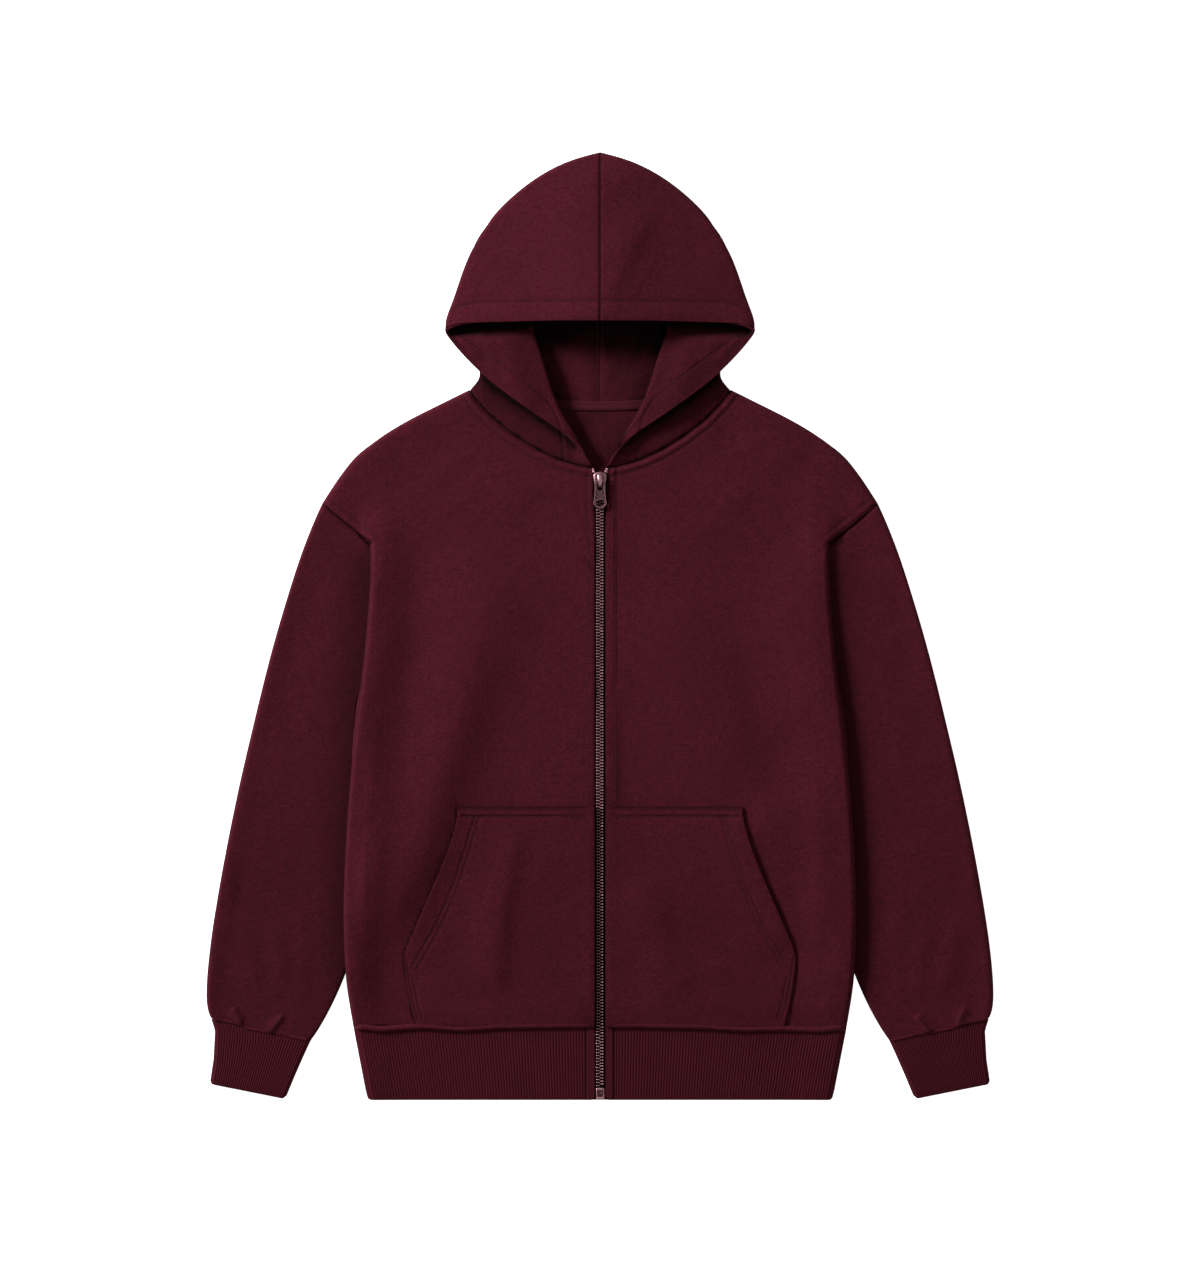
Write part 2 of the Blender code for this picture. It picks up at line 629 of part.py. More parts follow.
# x, h of the turned edge or of the upper fold, height below it and above it
HOOD_EDGE = ((-16.0, 628.0, 7.3, 7.3), (-19.5, 641.6, 13.2, 13.2), (-32.9, 656.3, 14.0, 14.0),
             (-62.0, 678.5, 14.0, 14.0), (-107.5, 711.5, 13.8, 13.8), (-143.0, 745.0, 13.6, 13.6),
             (-148.0, 752.0, 13.4, 14.6), (-151.5, 758.0, 13.2, 18.0), (-149.0, 769.0, 13.0, 18.0),
             (-142.5, 784.5, 12.6, 17.4), (-134.8, 809.0, 12.2, 16.8), (-125.0, 833.5, 12.2, 16.2))
# x, h and height of the opening's edge
HOOD_RIM = ((-9.0, 623.5, 7.2), (-18.0, 638.8, 16.0), (-35.3, 653.7, 14.0), (-71.0, 677.0, 13.6),
            (-116.6, 709.5, 13.4), (-151.3, 749.0, 15.4), (-151.0, 754.0, 22.0), (-140.0, 759.4, 22.0),
            (-126.0, 760.6, 22.0), (-110.0, 761.2, 22.6), (-90.0, 761.7, 24.2), (-70.0, 762.1, 26.6))
# centre h on the floor, x, h of the single side fold, height above it, x and height at the rim
CROWN = ((856.0, -111.7, 857.5, 12.6, -52.0, 28.4), (872.0, -89.2, 882.0, 10.6, -36.0, 29.8),
         (886.0, -60.0, 905.0, 8.8, -21.0, 30.6), (897.0, -30.0, 920.3, 7.8, -9.0, 31.0),
         (905.0, -HOOD_X, LENGTH - HOOD_LOW, 7.4, -HOOD_X, 31.0))
FOREHEAD_H = 762.4
OPEN_FOLD = 3.0  # radius of a fold that is only half turned
FOLD_STEPS = 3
LAYER_STEPS = (5, 6, 3, 6)  # of the floor, the side, the turned-back and the upper layer
# round the single fold, as many places as the three folds and two layers below it have
CROWN_ANGLES = (-90.0, -70.0, -50.0, -33.0, -28.0, -23.0, -19.0, -15.0, -11.0,
                -6.0, 4.0, 14.0, 24.0, 29.0, 34.0, 40.0, 57.0, 73.0, 90.0)


def fold_curve(before, low, high, after, steps):
    """Points of a rounded fold between a layer that arrives and one that leaves."""
    way_in = (low - before).normalized()
    way_out = (after - high).normalized()
    turned = smooth((high.z - low.z - 1.5) / 2.0)
    space = min((low - before).length, (after - high).length)
    radius = lerp(min(OPEN_FOLD, 0.4 * space), (high.z - low.z) / 2, turned)
    start, end = low - way_in * radius, high + way_out * radius
    reach = radius * lerp(0.6, 4 / 3, turned)
    points = interpolate_bezier(start, start + way_in * reach, end - way_out * reach, end, steps + 1)
    return list(points)


def layer(start, end, steps):
    """Points strictly between two places."""
    return [start.lerp(end, step / steps) for step in range(1, steps)]


def hood_row(centre_h, fold, roll_at, edge, rim):
    """One row of the middle of the cloth, from the centre line's floor to the opening's edge."""
    centre = Vector((-HOOD_X, centre_h, HOOD_LOW))
    rim = Vector(rim)
    lows = [Vector((fold[0], fold[1], HOOD_LOW)), Vector(roll_at[:3]), Vector(edge[:3])]
    highs = [Vector(fold), Vector((*roll_at[:2], roll_at[3])), Vector((*edge[:2], edge[3]))]
    turn = fold_curve(centre, lows[0], highs[0], lows[1], FOLD_STEPS)
    row = [centre] + layer(centre, turn[0], LAYER_STEPS[0]) + turn
    arrives = fold_curve(turn[-1], lows[1], highs[1], lows[2], FOLD_STEPS)[0]
    side = layer(turn[-1], arrives, LAYER_STEPS[1])
    for step, spot in enumerate(side, 1):
        share = step / LAYER_STEPS[1]
        bend = along(NECK_RUN, share) - Vector(NECK_RUN[0]).lerp(Vector(NECK_RUN[-1]), share)
        row.append(spot + Vector((*bend, 0.0)) * roll_at[4])
    turn = fold_curve(row[-1], lows[1], highs[1], lows[2], FOLD_STEPS)
    row += turn
    end = fold_curve(highs[1], lows[2], highs[2], rim, FOLD_STEPS)
    row += layer(turn[-1], end[0], LAYER_STEPS[2]) + end
    return row + layer(end[-1], rim, LAYER_STEPS[3]) + [rim]


def crown_row(centre_h, fold_x, fold_h, high, rim_x, rim_z):
    """A row near the crown, where the cloth only folds once at the side."""
    centre = Vector((-HOOD_X, centre_h, HOOD_LOW))
    rim = Vector((rim_x, FOREHEAD_H, rim_z))
    out = Vector((fold_x - centre.x, fold_h - centre.y, 0.0)).normalized()
    radius = (high - HOOD_LOW) / 2
    hub = Vector((fold_x, fold_h, HOOD_LOW + radius)) - out * radius
    angles = [math.radians(angle) for angle in CROWN_ANGLES]
    bend =[hub + out * radius * math.cos(a) + Vector((0.0, 0.0, radius * math.sin(a))) for a in angles]
    floor = [centre] + layer(centre, bend[0], LAYER_STEPS[0])
    return floor + bend + layer(bend[-1], rim, LAYER_STEPS[3]) + [rim]


def neck_row():
    """The neck seam and the way into the hood from each of its points."""
    front_way = (Vector(NECKLINE[-2]) - NECK_POINT).normalized()
    near = 0.95 * NECK_POINT.x
    back_way = Vector((near - NECK_POINT.x, back_neck(near) - NECK_POINT.y)).normalized()
    top = front_top(*NECK_POINT) - CLOTH / 2
    clear = Vector((0.4, 0.8))  # room at the neck point, where three folds meet
    spots, ways = [], []
    for x in (-HOOD_X, -30.0, -61.0, -92.0, -107.0):
        spots.append(Vector((x, back_neck(x) + 0.1, HOOD_LOW)))
        ways.append(Vector((0.1 * x / -NECK_POINT.x, 1.0)))
    for angle in (90.0, 30.0):
        deep, up = roll(angle)
        level = FOLD_DEEP * deep + CLOTH / 2 * math.cos(math.radians(angle))
        spot = NECK_POINT + back_way * level + clear * math.cos(math.radians(angle))
        spots.append(Vector((*spot, lerp(FOLD_HIGH / 2, HOOD_LOW, up))))
        ways.append(Vector((0.225, 0.974)) if angle > 45.0 else Vector((0.4, 0.92)))
    for angle in (30.0, 90.0):
        deep, up = roll(angle)
        level = FOLD_DEEP * deep + CLOTH / 2 * math.cos(math.radians(angle))
        spot = NECK_POINT + front_way * level + clear * math.cos(math.radians(angle))
        spots.append(Vector((*spot, lerp(FOLD_HIGH / 2, top, up))))
        ways.append(Vector((0.7, 0.7)) if angle < 45.0 else Vector((0.8, 0.6)))
    line = list(reversed(NECKLINE[1:-1]))
    places = line[:-1]
    roll_start = (-24.0, table(sorted(NECKLINE), -24.0))
    places += [tuple(Vector(roll_start).lerp(Vector(line[-1]), step / 3)) for step in range(4)]
    steps = LAYER_STEPS[2] + FOLD_STEPS + LAYER_STEPS[3]
    places += [tuple(Vector(line[-1]).lerp(Vector(NECKLINE[0]), step / steps))
               for step in range(1, steps + 1)]
    for x, h in places:
        spots.append(Vector((x, h, front_top(x, h) - CLOTH / 2)))
        slope = (table(sorted(NECKLINE), min(x + 4.0, -5.5)) - table(sorted(NECKLINE), x - 4.0)) / 8.0
        ways.append(Vector((-slope, 1.0)))
    ways = [Vector((*way.normalized(), 0.0)) for way in ways]
    return [spot + way * SEAM_GAP for spot, way in zip(spots, ways)], ways


def hood_nets():
    """The two faces of the hood's cloth, moved out from its middle."""
    seam, ways = neck_row()
    rows = [seam] + [hood_row(*cells) for cells in zip([row[0] for row in HOOD_FOLD],
                                                       [row[1:] for row in HOOD_FOLD],
                                                       HOOD_ROLL, HOOD_EDGE, HOOD_RIM)]
    rows += [crown_row(*cells) for cells in CROWN]
    outer_net, inner_net = [], []
    for v, row in enumerate(rows):
        outer_row, inner_row = [], []
        for u, spot in enumerate(row):
            across = row[min(u + 1, len(row) - 1)] - row[max(u - 1, 0)]
            rise = ways[u] if v == 0 else rows[min(v + 1, len(rows) - 1)][u] - rows[v - 1][u]
            normal = across.cross(rise)
            if u == 0 or v == len(rows) - 1:
                normal.x = 0.0
            normal.normalize()
            outer_row.append(tuple(spot + normal * CLOTH / 2))
            inner_row.append(tuple(spot - normal * CLOTH / 2))
        outer_net.append(outer_row)
        inner_net.append(inner_row)
    return outer_net, inner_net


pair("hood", *hood_nets(), fleece)

NECK_TAPE_X = 115.0
NECK_TAPE_LOW = -5.5  # from the back neck seam
NECK_TAPE_HIGH = 3.5


def neck_tape_net():
    """A narrow tape that covers the back neck seam on the inside."""
    outer_net, inner_net = [], []
    for across in (NECK_TAPE_LOW, NECK_TAPE_HIGH):
        places = [lerp(-NECK_TAPE_X, NECK_TAPE_X, step / 16) for step in range(17)]
        outer_net.append([(x, back_neck(x) + across, CLOTH + SEAM_GAP + 1.0) for x in places])
        inner_net.append([(x, back_neck(x) + across, CLOTH + SEAM_GAP) for x in places])
    return outer_net, inner_net


wall("neck_tape", *neck_tape_net(), tape)


# ---- zip ---------------------------------------------------------------------------------

TAPE_LOW = 2.7
TAPE_THICK = 0.6
TAPE_HALF = 15.0
CHAIN_HALF = 3.8
CHAIN_LOW = TAPE_LOW + TAPE_THICK + SEAM_GAP
CHAIN_TOP = 6.3
BOX_TOP_H = 12.0  # the box at the zip's lower end
SLIDER_LOW_H = 600.5
SLIDER_HIGH_H = 615.5
PLATE_LOW = 7.1  # the slider's upper plate lies over the edges of the fronts
PLATE_TOP = 8.3
PIVOT = Vector((0.0, 606.0, PLATE_TOP + 1.6))  # the pull tab's cross bar turns about this point
BAR_HALF = 0.75  # half the thickness of the pull tab
PULL_REST = 3.0  # degrees the pull tab slopes down to lie on the fronts


def block(name, low, high, bevel, finish_material):
    """A box between two (x, h, z) corners with rounded edges."""
    low, high = place(low), place(high)
    solid = bmesh.new()
    bmesh.ops.create_cube(solid, size=1.0)
    bmesh.ops.scale(solid, verts=solid.verts[:], vec=high - low)
    bmesh.ops.translate(solid, verts=solid.verts[:], vec=(low + high) / 2)
    bmesh.ops.bevel(solid, geom=solid.edges[:], offset=bevel * MM, segments=1, profile=0.5,
                    affect="EDGES", material=-1)
    return finish(name, solid, finish_material)


def slab(name, outlines, low, high):
    """A flat outline with its holes, given as rings of (x, y) millimetres, as a thick plate."""
    outline = bpy.data.curves.new(name, "CURVE")
    outline.dimensions = "2D"
    outline.fill_mode = "BOTH"
    outline.extrude = (high - low) / 2 * MM
    for points in outlines:
        spline = outline.splines.new("POLY")
        spline.points.add(len(points) - 1)
        for point, (x, y) in zip(spline.points, points):
            point.co = (x * MM, y * MM, 0.0, 1.0)
        spline.use_cyclic_u = True
    drawn = bpy.data.objects.new(name + "_outline", outline)
    bpy.context.scene.collection.objects.link(drawn)
    bpy.context.view_layer.update()
    mesh = bpy.data.meshes.new_from_object(drawn.evaluated_get(bpy.context.evaluated_depsgraph_get()))
    bpy.data.objects.remove(drawn, do_unlink=True)
    plate = bmesh.new()
    plate.from_mesh(mesh)
    bpy.data.meshes.remove(mesh)
    bmesh.ops.remove_doubles(plate, verts=plate.verts[:], dist=1e-6)
    bmesh.ops.translate(plate, verts=plate.verts[:], vec=(0.0, 0.0, (low + high) / 2 * MM))
    bmesh.ops.recalc_face_normals(plate, faces=plate.faces[:])
    return plate


for side, way in (("right", -1.0), ("left", 1.0)):
    ends = sorted((way * SEAM_GAP / 2, way * TAPE_HALF))
    block("zip_tape_" + side, (ends[0], 1.0, TAPE_LOW),
          (ends[1], NECK_FRONT - 2.0, TAPE_LOW + TAPE_THICK), 0.12, tape)
    ends = sorted((way * 4.9, way * 8.4))
    block("zip_stop_" + side, (ends[0], 614.8, PLATE_LOW), (ends[1], 618.4, PLATE_LOW + 1.9),
          0.4, metal)
block("zip_chain", (-CHAIN_HALF, BOX_TOP_H + SEAM_GAP, CHAIN_LOW),
      (CHAIN_HALF, SLIDER_LOW_H - SEAM_GAP, CHAIN_TOP), 0.5, metal)
block("zip_box", (-4.2, 1.0, CHAIN_LOW), (4.2, BOX_TOP_H, 7.0), 0.5, metal)


def arc(centre_x, centre_y, radius_x, radius_y, start, end, steps):
    """Points along an ellipse's arc, in degrees."""
    angles = [math.radians(lerp(start, end, step / steps)) for step in range(steps + 1)]
    return [(centre_x + radius_x * math.cos(a), centre_y + radius_y * math.sin(a)) for a in angles]


def pull_tab():
    """A stamped plate that hangs on its cross bar, with a slot for the bridge and an eye."""
    body = arc(0.0, 0.0, 5.1, 0.9, 0.0, 180.0, 6)
    body += [(-5.2, -9.0), (-5.2, -12.0), (-5.9, -18.0)]
    body += arc(0.0, -20.6, 6.6, 5.6, 180.0, 360.0, 12)
    body += [(5.9, -18.0), (5.2, -12.0), (5.2, -9.0)]
    slot = [(3.1, -0.9), (-3.1, -0.9)] + arc(0.0, -7.0, 3.1, 2.2, 180.0, 360.0, 8)
    eye = arc(0.0, -20.9, 4.3, 3.1, 0.0, 337.5, 15)
    plate = slab("zip_pull", (body, slot, eye), -BAR_HALF, BAR_HALF)
    bmesh.ops.rotate(plate, verts=plate.verts[:], cent=(0.0, 0.0, 0.0),
                     matrix=Matrix.Rotation(math.radians(PULL_REST), 3, "X"))
    bmesh.ops.translate(plate, verts=plate.verts[:], vec=place(PIVOT))
    return finish("zip_pull", plate, metal)


def joined(main, other):
    """Adds another solid to a main one, and keeps the other out of the object."""
    join = main.modifiers.new("join", "BOOLEAN")
    join.operation = "UNION"
    join.object = other
    hoodie.objects.unlink(other)
    cutters.objects.link(other)
    other.hide_render = True
    other.display_type = "WIRE"


def slider():
    """A core between the fronts, a wedge-shaped plate over them and an arched bridge."""
    core = block("zip_slider", (-4.9, SLIDER_LOW_H + 0.6, CHAIN_LOW),
                 (4.9, SLIDER_HIGH_H - 1.5, PLATE_LOW + 0.3), 0.4, metal)
    wedge = [(-6.4, SLIDER_HIGH_H - 3.2), (-6.0, SLIDER_HIGH_H - 8.0), (-4.9, SLIDER_LOW_H),
             (4.9, SLIDER_LOW_H), (6.0, SLIDER_HIGH_H - 8.0), (6.4, SLIDER_HIGH_H - 3.2),
             (3.4, SLIDER_HIGH_H), (-3.4, SLIDER_HIGH_H)]
    plate = slab("slider_plate", ([(x, h - LENGTH / 2) for x, h in wedge],), PLATE_LOW, PLATE_TOP)
    joined(core, finish("slider_plate", plate, metal))
    reach, rise, thick = 6.3, 4.5, 1.1
    sweep = arc(0.0, 0.0, reach, rise, 180.0, 0.0, 10)
    under = arc(0.0, 0.0, reach - thick, rise - thick, 0.0, 180.0, 10)
    bridge = slab("slider_bridge", (sweep + [(reach, -0.5), (reach - thick, -0.5)] + under
                                    + [(thick - reach, -0.5), (-reach, -0.5)],), -2.5, 2.5)
    # the outline is drawn along the zip and up, so it is stood on the plate
    for vert in bridge.verts:
        along_zip, up, across = vert.co
        vert.co = (across, along_zip + (PIVOT.y + 1.6 - LENGTH / 2) * MM, up + PLATE_TOP * MM)
    bmesh.ops.recalc_face_normals(bridge, faces=bridge.faces[:])
    joined(core, finish("slider_bridge", bridge, metal))


pull_tab()
slider()
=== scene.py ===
"""The looks of a maroon zip-up hooded sweatshirt that lies flat on its back.

Places on the garment are (x, h) in millimetres, as a pattern cutter would mark them: x from the
zip and h up from the lower edge of the hem. The wearer's right is at -x. Meshes are in metres.
"""

import json
import math

import bmesh
import bpy
import numpy as np
from mathutils import Matrix, Vector, noise
from mathutils.bvhtree import BVHTree

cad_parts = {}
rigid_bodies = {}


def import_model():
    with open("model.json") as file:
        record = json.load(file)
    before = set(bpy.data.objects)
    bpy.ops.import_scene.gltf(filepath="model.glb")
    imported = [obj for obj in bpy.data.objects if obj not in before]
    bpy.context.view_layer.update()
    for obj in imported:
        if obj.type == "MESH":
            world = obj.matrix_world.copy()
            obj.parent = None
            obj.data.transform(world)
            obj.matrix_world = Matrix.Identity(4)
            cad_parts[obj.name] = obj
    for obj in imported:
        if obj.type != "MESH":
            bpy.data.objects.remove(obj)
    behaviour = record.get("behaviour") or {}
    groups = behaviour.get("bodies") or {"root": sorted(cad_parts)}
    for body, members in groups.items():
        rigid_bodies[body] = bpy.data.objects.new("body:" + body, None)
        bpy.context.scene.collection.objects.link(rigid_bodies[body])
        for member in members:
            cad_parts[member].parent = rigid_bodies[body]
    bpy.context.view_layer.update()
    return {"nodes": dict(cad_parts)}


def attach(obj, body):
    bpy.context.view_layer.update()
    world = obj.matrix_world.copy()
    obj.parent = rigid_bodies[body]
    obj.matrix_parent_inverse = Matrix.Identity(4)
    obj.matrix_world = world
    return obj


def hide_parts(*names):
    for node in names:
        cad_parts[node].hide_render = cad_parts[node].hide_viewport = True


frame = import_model()

# ---- table, light and camera ---------------------------------------------------------------
# The garment is laid out on a lit white table and seen from straight above. One soft light
# rakes over it from low beyond the wearer's right shoulder, and a weaker one fills in.

MM = 0.001
HEM_Y = -464.5  # y of the hem's lower edge, in millimetres
VIEW_HEIGHT = 1.2564  # metres of table that the picture shows from its top to its bottom
VIEW_CENTRE_H = 449.8
VIEW_LEVEL = 0.006  # height above the table at which that size holds
CAMERA_HIGH = 6.0
SENSOR = 36.0
SKY_LIGHT = 0.23


def at(x, h, z=0.0):
    """A place on the garment, in millimetres, as a point in metres."""
    return Vector((x, h + HEM_Y, z)) * MM


camera_data = bpy.data.cameras.new("view_from_above")
camera_data.sensor_width = SENSOR
camera_data.lens = SENSOR * (CAMERA_HIGH - VIEW_LEVEL) / VIEW_HEIGHT
camera_data.clip_end = 50.0
camera = bpy.data.objects.new("view_from_above", camera_data)
camera.location = at(0.0, VIEW_CENTRE_H, CAMERA_HIGH / MM)
bpy.context.scene.collection.objects.link(camera)
bpy.context.scene.camera = camera
bpy.context.scene.view_settings.view_transform = "Standard"


def area_light(name, place, size, watts):
    """A round soft light that points at the middle of the garment."""
    data = bpy.data.lights.new(name, "AREA")
    data.shape = "DISK"
    data.size = size
    data.energy = watts
    light = bpy.data.objects.new(name, data)
    light.location = place
    light.rotation_euler = (-Vector(place)).to_track_quat("-Z", "Y").to_euler()
    bpy.context.scene.collection.objects.link(light)


area_light("key", (-3.0, 1.9, 1.5), 0.9, 275.0)
area_light("fill", (1.6, -1.2, 3.2), 2.2, 16.0)

world = bpy.data.worlds.new("studio")
world.use_nodes = True
sky = world.node_tree.nodes["Background"]
sky.inputs["Color"].default_value = (1.0, 1.0, 1.0, 1.0)
sky.inputs["Strength"].default_value = SKY_LIGHT
bpy.context.scene.world = world


class Socket:
    """A node's output socket, so that shader maths is written as Python expressions."""

    def __init__(self, paint, socket):
        self.paint, self.socket = paint, socket

    def maths(self, operation, other, swapped=False):
        values = (other, self) if swapped else (self, other)
        return self.paint.add("ShaderNodeMath", {"operation": operation}, dict(enumerate(values)))

    def __add__(self, other):
        return self.maths("ADD", other)

    def __sub__(self, other):
        return self.maths("SUBTRACT", other)

    def __rsub__(self, other):
        return self.maths("SUBTRACT", other, True)

    def __mul__(self, other):
        return self.maths("MULTIPLY", other)

    __radd__, __rmul__ = __add__, __mul__


class Paint:
    """A Principled material that is built up node by node."""

    def __init__(self, name, **constants):
        self.material = bpy.data.materials.new(name)
        self.material.use_nodes = True
        self.tree = self.material.node_tree
        self.shader = self.tree.nodes["Principled BSDF"]
        for key, value in constants.items():
            self.shader.inputs[key.replace("_", " ")].default_value = value

    def add(self, kind, settings, inputs, output=0):
        """A node of a type with its settings, then its sockets' values or links."""
        node = self.tree.nodes.new(kind)
        for key, value in settings.items():
            if key == "stops":
                ramp = node.color_ramp
                for index, (position, colour) in enumerate(value):
                    stop = ramp.elements[index] if index < 2 else ramp.elements.new(position)
                    stop.position, stop.color = position, (*colour, 1.0)
            else:
                setattr(node, key, value)
        for key, value in inputs.items():
            self.plug(node.inputs[key], value)
        return Socket(self, node.outputs[output])

    def plug(self, socket, value):
        if isinstance(value, Socket):
            self.tree.links.new(value.socket, socket)
        else:
            socket.default_value = value

    def feed(self, key, value):
        self.plug(self.shader.inputs[key], value)

    def place(self, turn=0.0, stretch=(1.0, 1.0, 1.0)):
        """Object coordinates, turned about the vertical by some degrees."""
        where = self.add("ShaderNodeTexCoord", {}, {}, "Object")
        return self.add("ShaderNodeMapping", {}, {"Vector": where, "Scale": stretch,
                                                  "Rotation": (0.0, 0.0, math.radians(turn))})

    def cloud(self, where, size, detail=2.0, rough=0.5, warp=0.0):
        """Soft noise from 0 to 1, with blots about size metres across."""
        return self.add("ShaderNodeTexNoise", {}, {"Vector": where, "Scale": 1.0 / size, "Detail": detail,
                                                   "Roughness": rough, "Distortion": warp})

    def contrast(self, value, gain):
        return (value - 0.5) * gain + 0.5

    def shelter(self):
        """The painted shade stored on each point: 0 in the open, 1 deep in a fold or seam."""
        return self.add("ShaderNodeAttribute", {"attribute_name": "shelter"}, {}, "Fac")

    def mix(self, share, first, second):
        """One colour at share 0 and another at share 1."""
        return self.add("ShaderNodeMix", {"data_type": "RGBA"}, {0: share, 6: first, 7: second}, 2)

    def bump(self, height, distance, strength=1.0, under=None):
        sockets = {"Height": height, "Distance": distance, "Strength": strength}
        if under is not None:
            sockets["Normal"] = under
        return self.add("ShaderNodeBump", {}, sockets)


TABLE_WHITE = (0.93, 0.93, 0.93, 1.0)
TABLE_HALF = 6.0
TABLE_BELOW = 0.0002  # the table's top clears the cloth by this much
table_paint = Paint("white_table", Roughness=0.9, Base_Color=TABLE_WHITE,
                    Emission_Color=TABLE_WHITE, Emission_Strength=1.0)
table_mesh = bmesh.new()
bmesh.ops.create_grid(table_mesh, x_segments=1, y_segments=1, size=TABLE_HALF)
bmesh.ops.translate(table_mesh, verts=table_mesh.verts[:], vec=(0.0, 0.0, -TABLE_BELOW))
table_data = bpy.data.meshes.new("table")
table_mesh.to_mesh(table_data)
table_mesh.free()
table = bpy.data.objects.new("table", table_data)
table_data.materials.append(table_paint.material)
bpy.context.scene.collection.objects.link(table)


# ---- fronts and back: brushed fleece ---------------------------------------------------------
# Each panel is one layer of heavy cotton fleece, dyed maroon as a finished garment and brushed,
# so that short fibres felt over the knit. The fronts lie in low folds over the back panel.

FLEECE = (0.0592, 0.0069, 0.0129)
FELT_SIZE = 0.0011  # width of a tuft of fibres
CLUMP_SIZE = 0.0048
WORN_SIZE = 0.055
FUZZY = {"Roughness": 0.95, "Sheen_Weight": 0.03, "Sheen_Roughness": 0.75,
         "Sheen_Tint": (0.6, 0.25, 0.3, 1.0), "Specular_IOR_Level": 0.03}


def dyed(colour, shares, light=1.0):
    """Darker and brighter shades of one colour, all scaled by light, which paints a whole piece lighter
    or darker.
    """
    return [tuple(channel * light * share for channel in colour) + (1.0,) for share in shares]


def fleece(name, turn=0.0, light=1.0):
    """Fleece whose fibres are brushed at some degrees from across the garment; light paints it all
    lighter or darker.
    """
    paint = Paint(name, **FUZZY)
    where = paint.place(turn)
    brushed = paint.place(turn, (0.33, 1.0, 1.0))
    tufts = paint.cloud(brushed, FELT_SIZE, 3.0, 0.62, 0.7)
    clumps = paint.cloud(where, CLUMP_SIZE, 3.0, 0.6, 0.4)
    worn = paint.cloud(where, WORN_SIZE, 4.0, 0.55)
    yarn = paint.contrast(tufts * 0.7 + clumps * 0.3, 4.6)
    deep, pale, dull, painted_shade_colour = dyed(FLEECE, (0.66, 1.36, 0.84, 0.05), light)
    colour = paint.mix(yarn, deep, pale)
    colour = paint.mix(paint.contrast(worn, 2.2) * 0.5, colour, dull)
    # painted shade: the stored share mixes the colour towards near black
    paint.feed("Base Color", paint.mix(paint.shelter(), colour, painted_shade_colour))
    wales = paint.add("ShaderNodeTexWave", {"bands_direction": "X"},
                      {"Vector": where, "Scale": 260.0, "Distortion": 2.4, "Detail": 2.0,
                       "Detail Scale": 2.0})
    paint.feed("Normal", paint.bump(tufts * 0.8 + clumps * 0.5 + wales * 0.12, 0.0010, 0.75))
    return paint.material


body_fleece = fleece("body_fleece")
MERGE = 1e-5  # a node's loose triangles are joined where they meet this closely
JOINED = 1e-7
RIM_ANGLE = math.radians(66)
FLAT_ANGLE = math.radians(35)
SKEW_ANGLE = math.radians(70)
EDGE_ROUND = 0.00045  # cut edges are turned in and sewn, so they round over a little


def cloth_mesh(node, cuts):
    """A node's cloth as smooth quads whose rims stay firm."""
    cloth = bmesh.new()
    cloth.from_mesh(frame["nodes"][node].data)
    bmesh.ops.remove_doubles(cloth, verts=cloth.verts[:], dist=MERGE)
    bmesh.ops.join_triangles(cloth, faces=cloth.faces[:], angle_face_threshold=FLAT_ANGLE,
                             angle_shape_threshold=SKEW_ANGLE)
    crease = cloth.edges.layers.float.new("crease_edge")
    for edge in cloth.edges:
        if len(edge.link_faces) == 2 and edge.calc_face_angle() > RIM_ANGLE:
            edge[crease] = 1.0
    data = bpy.data.meshes.new(node + "_rough")
    cloth.to_mesh(data)
    cloth.free()
    shell = bpy.data.objects.new(node + "_rough", data)
    bpy.context.scene.collection.objects.link(shell)
    smoother = shell.modifiers.new("smoother", "SUBSURF")
    smoother.levels = smoother.render_levels = cuts
    evaluated = shell.evaluated_get(bpy.context.evaluated_depsgraph_get())
    smoothed = bpy.data.meshes.new_from_object(evaluated)
    bpy.data.objects.remove(shell, do_unlink=True)
    bpy.data.meshes.remove(data)
    return smoothed


def off_line(spots, line):
    """Each plan place's distance from a broken line, its side, and its share of the way along."""
    line = np.array(line, float)
    lengths = np.hypot(*np.diff(line, axis=0).T)
    best, side, share = np.full(len(spots), 1e9), np.zeros(len(spots)), np.zeros(len(spots))
    for step, (start, run) in enumerate(zip(line, np.diff(line, axis=0))):
        part = np.clip((spots - start) @ run / (run @ run), 0.0, 1.0)
        off = spots - start - part[:, None] * run
        distance = np.hypot(*off.T)
        nearer = distance < best
        best = np.where(nearer, distance, best)
        side = np.where(nearer, np.sign(run[0] * off[:, 1] - run[1] * off[:, 0]), side)
        share = np.where(nearer, (lengths[:step].sum() + part * lengths[step]) / lengths.sum(), share)
    return best, side, share


def ease(t):
    """An S curve from 0 to 1."""
    t = np.clip(t, 0.0, 1.0)
    return t * t * (3.0 - 2.0 * t)


FOLD_END = 0.22  # share of a fold's length over which it dies away
SHORT_CREASE = 5.0  # a crease with a reach below this runs on to its lower end at full height


def fold_heights(spots, folds):
    """Heights of soft folds, each a crest from its top down with a reach to either side."""
    height = np.zeros(len(spots))
    for line, reach_right, reach_left, high in folds:
        distance, side, share = off_line(spots, line)
        reach = np.where(side > 0, reach_left, reach_right)
        ends = ease(share / FOLD_END)
        if abs(reach_right) > SHORT_CREASE:
            ends = ends * ease((1.0 - share) / FOLD_END)
        height += high * ends * np.exp(-(distance / reach) ** 2)
    return height


def waves(spots, size, seed):
    """Slow noise from -1 to 1 over the garment."""
    return np.array([noise.noise(Vector((x / size, h / size, seed))) for x, h in spots])


def snap(spots, line, reach=0.55):
    """Closes a seam: places within reach of the sewn line move onto it."""
    line = np.array(line, float)
    best, target = np.full(len(spots), reach), spots.copy()
    for start, run in zip(line, np.diff(line, axis=0)):
        part = np.clip((spots - start) @ run / (run @ run), 0.0, 1.0)
        on_line = start + part[:, None] * run
        distance = np.hypot(*(spots - on_line).T)
        nearer = distance < best
        best = np.where(nearer, distance, best)
        target[nearer] = on_line[nearer]
    return target


